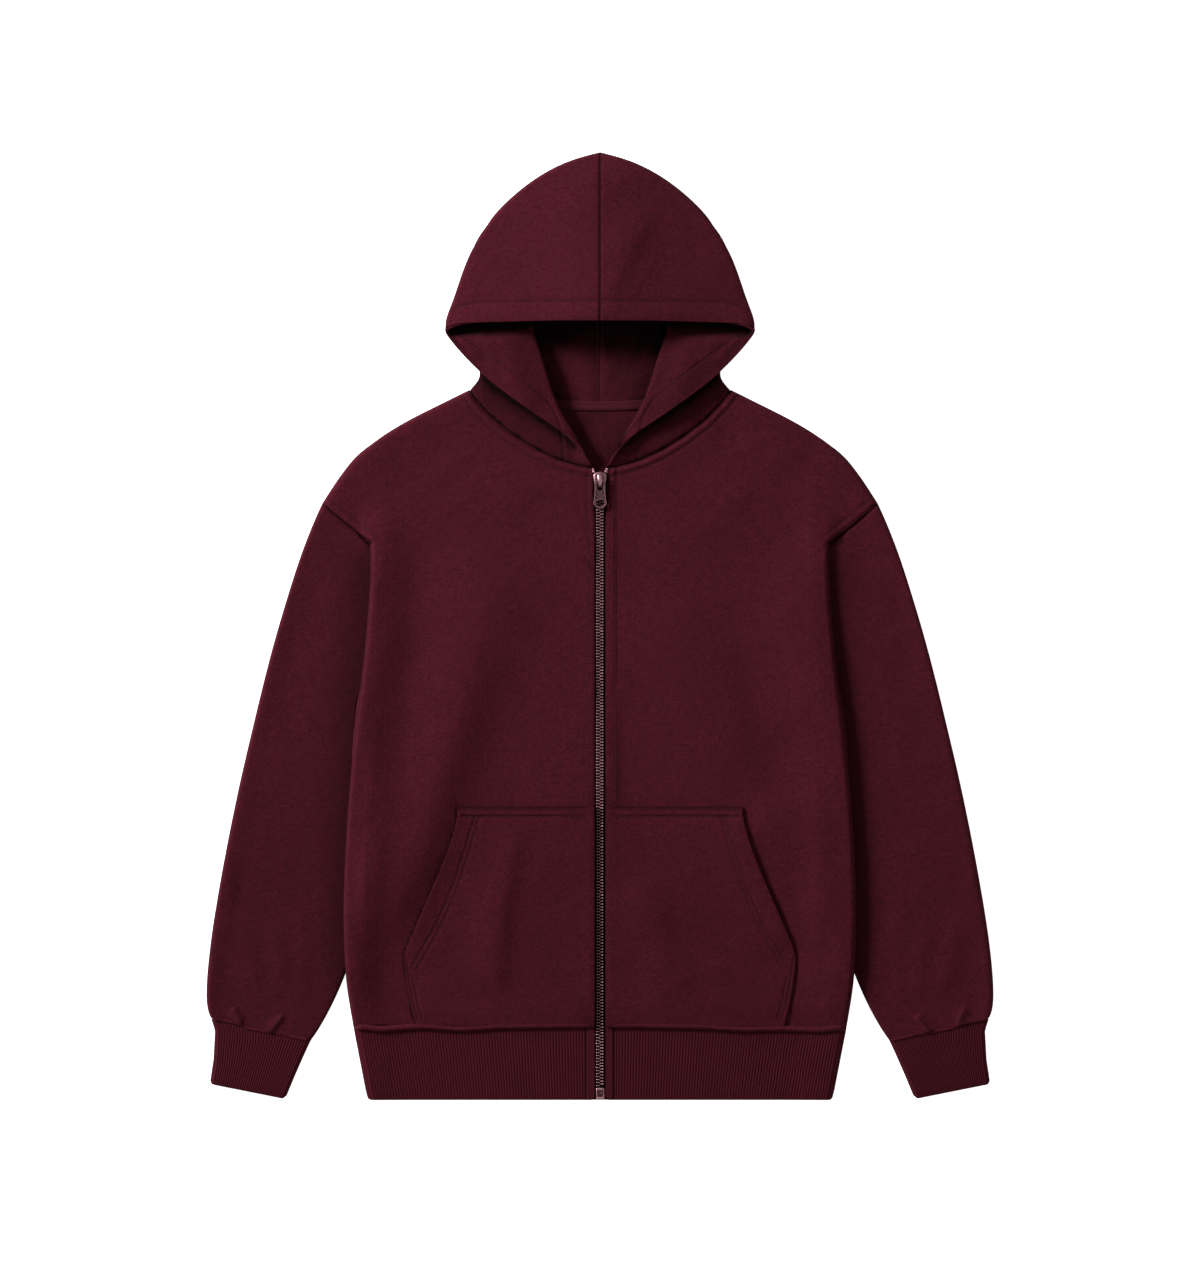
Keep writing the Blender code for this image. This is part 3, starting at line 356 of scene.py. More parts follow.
FINE_REACH = 4.5  # the mesh is made finer this near to a row of stitches or a seam
FINE_EDGE = 0.0016  # edges shorter than this, in metres, are left whole


def finer(mesh, lines):
    """Divides the upper faces along sewn lines, so that their grooves have a shape."""
    places = np.array([face.center for face in mesh.polygons]) / MM
    near = np.zeros(len(places), bool)
    for line in lines:
        near |= off_line(places[:, :2] - (0.0, HEM_Y), line)[0] < FINE_REACH
    cloth = bmesh.new()
    cloth.from_mesh(mesh)
    cloth.faces.ensure_lookup_table()
    edges = {edge for index in np.flatnonzero(near) if cloth.faces[index].normal.z > 0.2
             for edge in cloth.faces[index].edges if edge.calc_length() > FINE_EDGE}
    bmesh.ops.subdivide_edges(cloth, edges=list(edges), cuts=2, use_grid_fill=True)
    cloth.to_mesh(mesh)
    cloth.free()


def panel(node, cuts, material, relief=None, seams=(), rests_on=(), rows=()):
    """A cloth piece in a node's place, with its folds, its closed seams and the size it was cut to."""
    mesh = cloth_mesh(node, cuts)
    if rows:
        finer(mesh, rows)
    mesh.name = node + "_cloth"
    mesh.materials.clear()
    mesh.materials.append(material)
    places = np.empty(len(mesh.vertices) * 3)
    mesh.vertices.foreach_get("co", places)
    places = places.reshape(-1, 3) / MM
    places[:, 1] -= HEM_Y
    if relief:
        places[:, 2] += relief(places)
    for line in seams:
        places[:, :2] = snap(places[:, :2], line)
    places[:, 1] += HEM_Y
    mesh.vertices.foreach_set("co", (places * MM).ravel())
    rounded = bmesh.new()
    rounded.from_mesh(mesh)
    rims = [edge for edge in rounded.edges if edge.calc_face_angle(0.0) > RIM_ANGLE]
    bmesh.ops.bevel(rounded, geom=rims, offset=EDGE_ROUND, segments=2, profile=0.5,
                    affect="EDGES", material=-1, clamp_overlap=True)
    rounded.to_mesh(mesh)
    rounded.free()
    mesh.shade_smooth()
    piece = bpy.data.objects.new(node + "_cloth", mesh)
    bpy.context.scene.collection.objects.link(piece)
    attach(piece, "garment")
    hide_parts(node)
    return piece


def mirror(line):
    """The same line on the wearer's left."""
    return [(-x, h) for x, h in line]


def on_right(spots):
    """Whether these places lie on the wearer's right."""
    return spots[:, 0].mean() < 0


def on_side(spots, line):
    """A line of the wearer's right, on the side where these places lie."""
    return line if on_right(spots) else mirror(line)


def mirror_folds(folds):
    """The same folds on the wearer's left, with their reaches changed over."""
    return tuple((mirror(line), left, right, high) for line, right, left, high in folds)


def beside(line, off):
    """A line at a distance to the right of another, as seen going along it."""
    line = np.array(line, float)
    ways = np.gradient(line, axis=0)
    ways /= np.hypot(*ways.T)[:, None]
    return [(x + off * run_h, h - off * run_x) for (x, h), (run_x, run_h) in zip(line, ways)]


def sewn_grooves(spots, rows, deep=0.45, wide=1.2):
    """Depths of the small troughs that rows of stitches pull into the cloth."""
    return sum(deep * np.exp(-(off_line(spots, row)[0] / wide) ** 2) for row in rows)


# h, half width of the body at its folded side edge
SIDE = ((0.0, 228.0), (67.0, 241.0), (118.0, 249.6), (186.0, 252.0), (265.0, 249.0),
        (343.0, 242.0), (400.0, 235.3), (460.0, 228.6), (505.0, 225.0), (545.5, 224.0))
NECKLINE = ((-5.4, 619.0), (-17.6, 621.3), (-39.2, 627.2), (-60.8, 637.0), (-81.3, 649.7),
            (-102.9, 666.4), (-119.6, 684.0), (-128.4, 695.8))
ARMHOLE = ((-272.4, 584.5), (-248.2, 565.0), (-224.0, 545.5), (-216.0, 515.0),
           (-217.0, 470.0), (-225.0, 430.0), (-235.3, 400.0))
HEM_SEAM = 71.6
PLACKET_STITCHES = (-12.1, 15.3)  # x of the row beside the zip on either side
PLACKET_TOP = 616.0
NECK_ROW = beside(NECKLINE, -9.0)
ARMHOLE_ROW = beside(ARMHOLE[:3], -8.0)
SEAM_DEEP = 1.5
SEAM_WIDE = 2.0
SLIDER_PARTS = (1.6, 3.0)  # the slider pushes each placket's edge aside this far
PLACKET_HIGH = 0.45  # the folded edge beside the zip is this much thicker
LOWEST_DIP = -0.9  # no fold dips further, so that the front stays off the back panel
POCKET_TOP = 287.5
# x, h of the pocket's opening edge, then of its side down to the hem seam
POCKET_EDGE = ((-139.0, 287.5), (-140.0, 276.0), (-144.0, 259.0), (-151.5, 238.0), (-161.5, 214.0),
               (-173.5, 187.0), (-184.5, 161.0), (-193.0, 143.0), (-190.5, 116.0), (-186.0, 93.0),
               (-181.0, 72.2))
# crest from its top down, reach to the wearer's right and left, height
FRONT_FOLDS = (
    (((-66, 540), (-100, 474), (-130, 396), (-155, 323), (-176, 250), (-202, 188), (-226, 130)),
     54, 24, 8.2),
    (((66, 510), (92, 440), (119, 372), (143, 312), (163, 255), (190, 190)), 58, 30, 4.2),
    (((-78, 282), (-88, 235), (-98, 180), (-105, 90)), 28, 11, 3.0),
    (((38, 222), (60, 158), (88, 92)), 28, 15, 2.2),
    (((142, 300), (157, 250), (172, 180), (178, 130)), 34, 42, 3.8),
    (((112, 140), (124, 84)), 14, 8, 0.8),
    (((-160, 640), (-120, 600), (-60, 575)), 20, 20, 1.5),
    (((-230, 622), (-226, 590), (-222, 560), (-220, 520)), 7, 15, 1.4),
    (((230, 622), (226, 590), (222, 560), (220, 520)), 16, 7, 2.3),
    (((-247, 622), (-241, 594), (-236, 566)), 7, 6, -1.6),
    (((247, 622), (241, 594), (236, 566)), 6, 7, -1.6),
    (((150, 620), (110, 560), (70, 540)), 18, 16, 0.8),
)


def front_relief(places):
    """Folds of a front, which end before its edges, and the placket beside the zip."""
    spots = places[:, :2]
    x, h = spots.T
    edge = np.interp(h, *np.array(SIDE).T) - np.abs(x)
    neckline = on_side(spots, NECKLINE)
    # 1 well inside the front, and 0 along its side, its hem seam and its neckline
    inside = ease((edge - 5.0) / 18.0) * ease((h - HEM_SEAM - 1.0) / 26.0)
    inside = inside * ease((off_line(spots, neckline)[0] - 8.0) / 20.0)
    soft = 1.3 * waves(spots, 62.0, 1.0) + 0.45 * waves(spots, 23.0, 5.0)
    height = (fold_heights(spots, FRONT_FOLDS) + soft) * inside
    parted = ease((h - 572.0) / 12.0) * (1.0 - ease((np.abs(x) - 5.4) / 9.0))
    right = on_right(spots)
    places[:, 0] += np.sign(x) * SLIDER_PARTS[0 if right else 1] * parted
    row = PLACKET_STITCHES[0 if right else 1]
    height += PLACKET_HIGH * (1.0 - ease((np.abs(x) - abs(row) + 1.0) / 2.0))
    rows = [on_side(spots, line) for line in (NECK_ROW, ARMHOLE_ROW)]
    height -= sewn_grooves(spots, rows + [((row, HEM_SEAM), (row, PLACKET_TOP))])
    height -= sewn_grooves(spots, [neckline, on_side(spots, ARMHOLE[:3])], SEAM_DEEP, SEAM_WIDE)
    # the cloth stands up between the neckline's two rows, and above the hem seam
    band = 0.9 * np.exp(-((off_line(spots, neckline)[0] - 4.6) / 2.4) ** 2)
    puff = band + 0.7 * np.exp(-((h - HEM_SEAM - 16.0) / 11.0) ** 2) * ease((edge - 5.0) / 18.0)
    # the folded side rolls over: sharply on the right, and in a slow rise on the left
    if right:
        roll = 3.0 * ease((edge - 0.3) / 2.6) * (1.0 - ease((edge - 4.0) / 52.0))
    else:
        roll = 0.6 * ease((edge - 1.0) / 5.0) + 3.2 * ease((edge - 1.0) / 42.0)
        roll *= 1.0 - ease((edge - 34.0) / 62.0)
    roll *= (1.0 - ease((h - 500.0) / 60.0)) * ease((h - HEM_SEAM - 4.0) / 60.0)
    return np.maximum(height, LOWEST_DIP) + puff + roll


FRONT_ROWS = (NECKLINE, NECK_ROW, ARMHOLE[:3], ARMHOLE_ROW,
              ((PLACKET_STITCHES[0], HEM_SEAM), (PLACKET_STITCHES[0], PLACKET_TOP)), POCKET_EDGE)
for side, turned in (("right", list), ("left", mirror)):
    panel("front_" + side, 3, body_fleece, front_relief,
          (turned(NECKLINE), turned(ARMHOLE)), rests_on=["back_panel_cloth"],
          rows=[turned(row) for row in FRONT_ROWS])
panel("back_panel", 2, body_fleece, None, (ARMHOLE, mirror(ARMHOLE)))


# ---- sleeves ---------------------------------------------------------------------------------
# A sleeve is one piece of the same fleece, sewn to a tube along the underarm. It lies flat under
# the body's edge, and creases a little where it is gathered into the cuff.

SLEEVE_TURN = 14.0  # degrees the sleeve's cloth is turned from the body's
SLEEVE_FOLDS = (
    (((-312, 500), (-326, 400), (-338, 300), (-352, 180)), 26, 34, 1.3),
    (((-356, 190), (-344, 150), (-335, 104)), 12, 8, 1.3),
    (((-322, 176), (-312, 140), (-311, 92)), 12, 7, 1.2),
    (((-296, 200), (-290, 150), (-296, 84)), 10, 7, 0.9),
    (((-368, 240), (-362, 200), (-368, 150)), 10, 8, 0.8),
)
# short creases where the sleeve is gathered into the cuff
CUFF_PLEATS = (((-359, 92), (-356, 86), (-352, 78)), ((-309, 84), (-315, 77), (-322, 68)))
SLEEVE_FOLDS += tuple((pleat, 4.5, 3.0, 1.7) for pleat in CUFF_PLEATS)


def sleeve_relief(places):
    """Folds of the sleeve's upper layer."""
    spots = places[:, :2]
    upper = ease((places[:, 2] - 2.9) / 1.2)
    folds = SLEEVE_FOLDS if on_right(spots) else mirror_folds(SLEEVE_FOLDS)
    side = np.interp(spots[:, 1], *np.array(SIDE).T)
    off_zip = np.abs(spots[:, 0])
    clear = ease((off_zip - side + 1.0) / 16.0) * ease((off_zip - 222.0) / 30.0)
    soft = 0.55 * waves(spots, 48.0, 9.0) + 0.3 * waves(spots, 19.0, 3.0)
    groove = sewn_grooves(spots, (on_side(spots, ARMHOLE[:3]),), SEAM_DEEP, SEAM_WIDE)
    return (np.maximum((fold_heights(spots, folds) + soft) * clear, -0.8) - groove) * upper


# the sleeves are the body's fleece painted a little darker, as painted shade
sleeve_fleece = {"right": fleece("right_sleeve_fleece", -SLEEVE_TURN, 0.95),
                 "left": fleece("left_sleeve_fleece", SLEEVE_TURN, 0.97)}
for side, armhole in (("right", ARMHOLE), ("left", mirror(ARMHOLE))):
    panel("sleeve_" + side, 3, sleeve_fleece[side], sleeve_relief,
          (armhole,), rests_on=["back_panel_cloth"],
          rows=(armhole[:3],) + tuple(CUFF_PLEATS if side == "right" else map(mirror, CUFF_PLEATS)))


# ---- pockets ---------------------------------------------------------------------------------
# Each half of the pouch pocket is a patch of the same fleece on the front. Its slanted opening
# is hemmed and stands off a little, and its other edges are stitched down in two rows.

# rows of stitches: along the top, inside the opening's hem and inside the side
POCKET_ROWS = (((-137.0, 284.2), (-14.0, 284.2)), ((-136.0, 277.6), (-14.0, 277.6)),
               ((-122.5, 277.6), (-131.0, 249.0), (-143.0, 212.0), (-160.0, 172.0), (-184.6, 130.0)),
               ((-118.3, 277.6), (-126.8, 247.5), (-139.0, 210.0), (-156.0, 169.5), (-180.0, 127.5)),
               ((-189.6, 139.0), (-186.3, 115.0), (-182.0, 93.0), (-178.0, 80.0)),
               ((-183.6, 121.0), (-181.2, 110.0), (-178.0, 93.0), (-174.0, 80.0)))
POCKET_HEM_HIGH = 0.5  # the top edge is turned in, and so thicker


def pocket_relief(places):
    """The front's folds under the patch, and the ridges between its rows of stitches."""
    spots = places[:, :2]
    rows = [on_side(spots, row) for row in POCKET_ROWS]
    turned_hem = POCKET_HEM_HIGH * ease((spots[:, 1] - POCKET_ROWS[1][0][1]) / 3.0)
    height = front_relief(places) + turned_hem - sewn_grooves(spots, rows, 0.6)
    return np.maximum(height, LOWEST_DIP)


# the pockets are the body's fleece painted darker, as painted shade
pocket_fleece = fleece("pocket_fleece", 4.0, 0.93)
for side, turned in (("right", list), ("left", mirror)):
    panel("pocket_" + side, 4, pocket_fleece, pocket_relief,
          rests_on=["front_" + side + "_cloth"], rows=[turned(row) for row in POCKET_ROWS])


# ---- hood ------------------------------------------------------------------------------------
# Two halves of fleece meet in one seam over the crown. The opening has a broad hem, and its
# front edges are turned back as the hood lies on the shoulders.

HOOD_FOLDS = (
    (((0, 945), (0, 880), (0, 820), (0, 735)), 74, 60, 6.0),
    (((52, 880), (34, 840), (14, 800), (8, 770)), 20, 9, 1.4),
    (((-118, 830), (-96, 800), (-70, 774)), 22, 16, 0.8),
)
LAPEL_FOLDS = (
    (((-140, 752), (-128, 738), (-116, 724)), 6, 5, 1.2),
    (((-124, 757), (-108, 736), (-98, 716)), 9, 7, 0.9),
    (((-92, 735), (-80, 706), (-56, 678)), 14, 12, 0.9),
)
LAPEL_LIFT = 5.0  # the turned edge stands off the neck
# x, h of the roll where the opening's edge turns back, from the zip up
ROLL_LINE = ((-22.0, 631.0), (-19.5, 644.0), (-29.0, 660.5), (-44.0, 683.0),
             (-55.9, 724.2), (-65.0, 752.0))
CENTRE_SEAM = ((0.0, 600.0), (0.0, 940.0))
HEM_SPRING = 2.2  # the opening's hem is turned up, and springs off its seam
HOOD_HEM_ROW = ((-146.0, 772.0), (-139.0, 776.5), (-120.0, 781.0), (0.0, 781.6))
LAPEL_ROW = ((-141.0, 752.0), (-124.5, 740.9), (-100.9, 724.2), (-75.5, 704.6), (-51.9, 686.0),
             (-41.0, 668.0), (-36.3, 643.0), (-35.3, 624.5))
HOLLOW_ROW = ((-2.4, 695.0), (-2.4, 776.0))
HOLLOW_FOLDS = (
    (((-52, 762), (-44, 735), (-34, 704)), 9, 12, 1.7),
    (((-22, 756), (-20, 730), (-13, 700)), 8, 8, 1.2),
    (((26, 760), (22, 735), (14, 706)), 9, 9, 1.5),
    (((52, 758), (45, 730), (36, 706)), 12, 9, 1.3),
)


def hood_relief(places):
    """Folds of the layer over the forehead, of the turned edge and of the hollow's floor."""
    spots, high = places[:, :2], places[:, 2]
    x, h = spots.T
    # shares that pick out the top layer, the hollow's floor and the turned edges
    beneath = 4.0 + 11.0 * ease((np.abs(x) - 58.0) / 14.0) * (1.0 - ease((h - 812.0) / 16.0))
    over = ease((high - beneath) / 3.0) * ease((h - 752.0) / 8.0)
    low = ease((5.2 - high) / 1.0) * ease((h - 692.0) / 12.0)
    turned = ease((high - 11.0) / 1.5) * (1.0 - ease((h - 746.0) / 10.0))
    lapel = LAPEL_FOLDS if on_right(spots) else mirror_folds(LAPEL_FOLDS)
    soft = 0.7 * waves(spots, 40.0, 4.0) + 0.25 * waves(spots, 17.0, 8.0)
    height = over * (fold_heights(spots, HOOD_FOLDS) + soft)
    height += turned * (fold_heights(spots, lapel) + 0.4 * soft)
    off_roll = off_line(spots, on_side(spots, ROLL_LINE))[0]
    lifted = ease((high - 10.8) / 1.5) * (1.0 - ease((h - 742.0) / 14.0))
    height += LAPEL_LIFT * lifted * ease(off_roll / 34.0)
    height += over * HEM_SPRING * ease((783.0 - h) / 18.0)
    for share, line, deep, wide in ((over, HOOD_HEM_ROW, 0.6, 1.4),
                                    ((high > 6.0) * (h < 760.0), LAPEL_ROW, 0.5, 1.3),
                                    (1.0 - over, NECKLINE, SEAM_DEEP, SEAM_WIDE),
                                    (over, CENTRE_SEAM, 0.7, 1.8)):
        height -= share * sewn_grooves(spots, (on_side(spots, line),), deep, wide)
    return height + low * np.maximum(fold_heights(spots, HOLLOW_FOLDS), 0.0)


# the hood's halves are the body's fleece painted darker, the left more, as painted shade
hood_fleece = {"right": fleece("right_hood_fleece", 8.0, 0.97),
               "left": fleece("left_hood_fleece", -8.0, 0.94)}
for side, turned in (("right", list), ("left", mirror)):
    panel("hood_" + side, 3, hood_fleece[side], hood_relief,
          (turned(NECKLINE), CENTRE_SEAM), rests_on=["back_panel_cloth"],
          rows=[turned(row) for row in (NECKLINE, CENTRE_SEAM, HOOD_HEM_ROW, LAPEL_ROW)])


# ---- ribbed cuffs and hem --------------------------------------------------------------------
# Cuffs and hem are bands of 1x1 rib knit, folded double and sewn on. The ridges run along the
# garment, and the seam's turned-in edges make a rounded welt that the tension pulls wavy.

RIB_DEEP = 0.6
RIB_LAID = 6.2  # two doubled layers pressed flat
RIB_WALL = 2.4
RIB_STEPS = 5  # places across one ridge, and across a rounded edge
RIB = (0.0500, 0.0058, 0.0108)


def rib_knit(name):
    """Rib knit: fine stitches up each ridge, and a little fuzz over them."""
    paint = Paint(name, **FUZZY)
    where = paint.place()
    fuzz = paint.cloud(where, 0.0009, 3.0, 0.6, 0.6)
    uneven = paint.cloud(where, 0.03, 3.0, 0.5)
    deep, pale, painted_shade_colour = dyed(RIB, (0.8, 1.25, 0.06))
    colour = paint.mix(paint.contrast(fuzz, 2.4), deep, pale)
    colour = paint.mix(paint.contrast(uneven, 2.0) * 0.5, colour, deep)
    # painted shade: the stored share mixes the colour towards near black
    paint.feed("Base Color", paint.mix(paint.shelter(), colour, painted_shade_colour))
    courses = paint.add("ShaderNodeTexWave", {"bands_direction": "Y"},
                        {"Vector": where, "Scale": 210.0, "Distortion": 1.2, "Detail": 1.0})
    paint.feed("Normal", paint.bump(fuzz * 0.7 + courses * 0.4, 0.0005, 0.6))
    return paint.material


rib_fabric = rib_knit("rib_knit")


def across(width, corner, ribs, both=True):
    """Places across a pressed band and how far the ridges dip there, closer where an edge rounds."""
    turn = [(corner * (1.0 - math.cos(math.pi / 2 * step / RIB_STEPS)), -RIB_DEEP)
            for step in range(RIB_STEPS)]
    flat = width - corner * (2 if both else 1)
    middle = [(corner + flat * step / (RIB_STEPS * ribs),
               RIB_DEEP * (abs(math.sin(math.pi * step / RIB_STEPS)) ** 0.7 - 1.0))
              for step in range(RIB_STEPS * ribs + 1)]
    return turn + middle + ([(width - place, dip) for place, dip in reversed(turn)] if both else [])


def rounding(to_edge, radius):
    """How far a pressed edge has risen at a distance from its rim: 0 at the rim, 1 past the radius."""
    return math.sqrt(1.0 - (max(0.0, radius - to_edge) / radius) ** 2)


def as_mesh(name, shape, firm, scale=1.0):
    """A finished shape as a smooth mesh that stays firm at edges sharper than some degrees."""
    bmesh.ops.recalc_face_normals(shape, faces=shape.faces[:])
    bmesh.ops.scale(shape, verts=shape.verts[:], vec=(scale, scale, scale))
    mesh = bpy.data.meshes.new(name)
    shape.to_mesh(mesh)
    shape.free()
    mesh.shade_smooth()
    mesh.set_sharp_from_angle(angle=math.radians(firm))
    return mesh


def wall_mesh(name, rows):
    """A closed wall from rows of its outer and inner points, shaped from grids joined at the rims."""
    net = bmesh.new()
    sheets = []
    columns, last = len(rows[0][0]), len(rows) - 1
    for face in (0, 1):
        grid = bmesh.ops.create_grid(net, x_segments=columns - 1, y_segments=last, size=1.0)
        for index, vert in enumerate(grid["verts"]):
            vert.co = at(*rows[index // columns][face][index % columns])
        sheets.append(grid["verts"])
    rims = [[row * columns + column for column in range(columns)] for row in (0, last)]
    if (Vector(rows[0][0][0]) - Vector(rows[0][0][-1])).length > 1e-6:
        rims += [[row * columns + column for row in range(last + 1)] for column in (0, columns - 1)]
    for rim in rims:
        for a, b in zip(rim, rim[1:]):
            net.faces.new((sheets[0][a], sheets[0][b], sheets[1][b], sheets[1][a]))
    bmesh.ops.remove_doubles(net, verts=net.verts[:], dist=JOINED)
    return as_mesh(name, net, 50)


def sewn_on(name, mesh, material, node=None, body="garment"):
    """A new piece that rides on a body, and may take a node's place."""
    mesh.materials.append(material)
    piece = bpy.data.objects.new(name, mesh)
    bpy.context.scene.collection.objects.link(piece)
    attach(piece, body)
    if node:
        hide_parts(node)
    return piece


# x, h of the outer edge, x, h of the inner edge, half of the thickness at the edges
CUFF = ((-381.2, 79.3, -283.4, 58.5, 3.4), (-377.5, 68.0, -288.8, 47.0, 3.4),
        (-379.0, 40.0, -298.5, 25.0, 3.2), (-382.6, 15.6, -308.6, 0.8, 3.0))
CUFF_ROUND = 3.0
CUFF_CORNER = 3.2  # the mouth's corners are rounded by this much
CUFF_MOUTH = 0.16  # share by which the folded edge is thinner
CUFF_ROWS = 18
CUFF_RIBS = 33
# share of the way across, rise of the seam
CUFF_SEAM = ((0.0, 0.0), (0.12, 0.9), (0.25, 1.6), (0.36, -1.2), (0.6, -0.6), (0.72, 0.3),
             (0.82, -0.4), (1.0, 0.0))


def cuff_row(way, down):
    """One ring of a cuff, over its top from the outer edge and back underneath."""
    cells = np.array([np.interp(down, (0.0, 0.15, 0.55, 1.0), column) for column in zip(*CUFF)])
    outer, inner, half = Vector(cells[:2]), Vector(cells[2:4]), cells[4]
    width = (inner - outer).length
    level = (inner - outer) / width
    mouth = 1.0 - CUFF_MOUTH * max(0.0, (down - 0.9) / 0.1) ** 2
    outside, inside = [], []
    places = across(width, CUFF_ROUND, CUFF_RIBS)
    for top, run in ((True, places), (False, places[-2::-1])):
        for place, dip in run:
            to_edge = min(place, width - place)
            rise = rounding(to_edge, CUFF_ROUND)
            spot = outer + level * place
            if down > 0.99:
                corner = max(0.0, 1.0 - to_edge / CUFF_CORNER) ** 2
                spot += Vector((-level.y, level.x)) * CUFF_CORNER * corner
            ridge = dip * rise
            tuck = level * RIB_WALL * (1.0 - rise) * (1.0 if place < width / 2 else -1.0)
            if top:
                spot.y += np.interp(place / width, *zip(*CUFF_SEAM)) * (1.0 - down) ** 3
                crest = half + (RIB_LAID - half) * rise * mouth
                heights = (crest + ridge, crest - RIB_WALL * rise)
            else:
                crest = half * (1.0 - rise * mouth)
                heights = (crest - ridge, crest + RIB_WALL * rise)
            outside.append((way * spot.x, spot.y, heights[0]))
            inside.append((way * (spot.x + tuck.x), spot.y + tuck.y, heights[1]))
    return outside, inside


for side, way in (("right", 1.0), ("left", -1.0)):
    name = f"cuff_{side}_knit"
    rings = [cuff_row(way, step / CUFF_ROWS) for step in range(CUFF_ROWS + 1)]
    cuff = sewn_on(name, wall_mesh(name, rings), rib_fabric, f"cuff_{side}")

HEM_ROUND = 5.5
HEM_EDGE = 8.6  # thickness at the side folds
HEM_MOUTH = 0.14
HEM_ROWS = 14
HEM_RIBS = 80
ZIP_EDGE = 5.4
ZIP_BAND = 7.0  # width of the placket's fold over the rib beside the zip
ZIP_BAND_HIGH = 0.45
HEM_STITCHES = 13.6  # x of the row that holds the rib to the zip tape
HEM_CORNER = 3.6  # the placket's lower corner is rounded by this much
# x, rise of the hem seam
HEM_WAVE = ((-228.0, 0.4), (-215.6, -1.6), (-176.4, 1.6), (-137.2, -1.3), (-98.0, 1.5), (-58.8, 2.0),
            (-24.5, 2.6), (24.5, 2.6), (58.8, 2.0), (98.0, 1.2), (137.2, -1.3), (176.4, -0.6),
            (215.6, -2.2), (228.0, -0.4))


def hem_wave(x):
    """How far the hem seam rises at a distance from the zip."""
    return float(np.interp(x, *zip(*HEM_WAVE)))


def hem_half(way, up):
    """Half a row of the hem: over the front from the zip to the side, back under to the middle."""
    h, edge = HEM_SEAM * up, float(np.interp(HEM_SEAM * up, *zip(*SIDE)))
    mouth = 1.0 - HEM_MOUTH * max(0.0, (0.1 - up) / 0.1) ** 2
    outside, inside = [], []
    for top, run in ((True, across(edge - ZIP_EDGE, HEM_ROUND, HEM_RIBS, False)[::-1]),
                     (False, across(edge, HEM_ROUND, HEM_RIBS, False)[1:])):
        for place, dip in run:
            x = edge - place
            rise = rounding(place, HEM_ROUND)
            ridge = dip * rise
            if top:
                thicker = 1.0 - float(ease((place - HEM_ROUND) / 48.0))
                crest = RIB_LAID + (HEM_EDGE - RIB_LAID) * thicker - HEM_EDGE / 2
                crest = HEM_EDGE / 2 + crest * rise * mouth
                ribbed = float(ease((x - ZIP_EDGE - ZIP_BAND) / 1.5))
                stitched = 0.4 * math.exp(-(x - HEM_STITCHES) ** 2)
                upper = crest + ridge * ribbed + ZIP_BAND_HIGH * (1.0 - ribbed) - stitched
                heights = (upper, crest - RIB_WALL * rise)
                spot_h = h + up ** 3 * hem_wave(way * x)
            else:
                crest = HEM_EDGE / 2 * (1.0 - rise)
                heights = (crest - ridge, crest + RIB_WALL * rise)
                spot_h = h
            corner = max(0.0, 1.0 - (x - ZIP_EDGE) / HEM_CORNER) ** 2 * top
            corner += 0.7 * max(0.0, 1.0 - place / HEM_CORNER) ** 2
            spot_h += HEM_CORNER * corner * (1.0 - min(1.0, up * 8.0))
            outside.append((way * x, spot_h, heights[0]))
            inside.append((way * (x - RIB_WALL * (1.0 - rise)), spot_h, heights[1]))
    return outside, inside


hem_rows = []
for step in range(HEM_ROWS + 1):
    halves = [hem_half(way, step / HEM_ROWS) for way in (-1.0, 1.0)]
    hem_rows.append([right + left[-2::-1] for right, left in zip(*halves)])
hem = sewn_on("hem_knit", wall_mesh("hem_knit", hem_rows), rib_fabric, "hem_rib")


def resampled(line, pitch):
    """Points along a broken line at an even pitch, and its way at each."""
    line = np.array(line, float)
    gone = np.concatenate(([0.0], np.cumsum(np.linalg.norm(np.diff(line, axis=0), axis=1))))
    count = max(int(round(gone[-1] / pitch)), 2)
    along = np.linspace(0.0, gone[-1], count + 1)
    spots = np.array([np.interp(along, gone, column) for column in line.T]).T
    ways = np.gradient(spots, axis=0)
    return spots, ways / np.linalg.norm(ways, axis=1)[:, None]


WELT_PITCH = 4.0
WELT_ARC = 8  # points over a welt's round
WELT_TIP = 0.55  # share of its width at either end
# the welts are the body's fleece painted a little lighter, as painted light
seam_fleece = fleece("seam_fleece", 90.0, 1.06)


def welt(name, line, wide, high):
    """A rounded strip along (x, h, z) places of its foot, closed at both ends."""
    spots, ways = resampled(line, WELT_PITCH)
    around = [math.pi * (step / (WELT_ARC - 1)) for step in range(WELT_ARC)] + [0.0]
    net = bmesh.new()
    grid = bmesh.ops.create_grid(net, x_segments=WELT_ARC, y_segments=len(spots) - 1, size=1.0)
    for index, vert in enumerate(grid["verts"]):
        row, column = divmod(index, WELT_ARC + 1)
        way, angle = ways[row], around[column]
        slim = WELT_TIP if row in (0, len(spots) - 1) else 1.0
        aside = Vector((-way[1], way[0], 0.0)) * math.cos(angle) * wide / 2 * slim
        vert.co = (Vector(spots[row]) + aside + Vector((0.0, HEM_Y, high * slim * math.sin(angle)))) * MM
    bmesh.ops.remove_doubles(net, verts=net.verts[:], dist=JOINED)
    open_ends = [edge for edge in net.edges if edge.is_boundary]
    bmesh.ops.holes_fill(net, edges=open_ends, sides=WELT_ARC + 1)
    return sewn_on(name, as_mesh(name, net, 80), seam_fleece)


HEM_WELT_RUN = 239.5
HEM_WELT_EDGE = 241.5
HEM_WELT_STEPS = 60
HEM_WELT_Z = 5.0
CUFF_WELT_ENDS = (0.012, 0.976)  # share of the way across where it starts, and how far it goes
CUFF_WELT_STEPS = 30


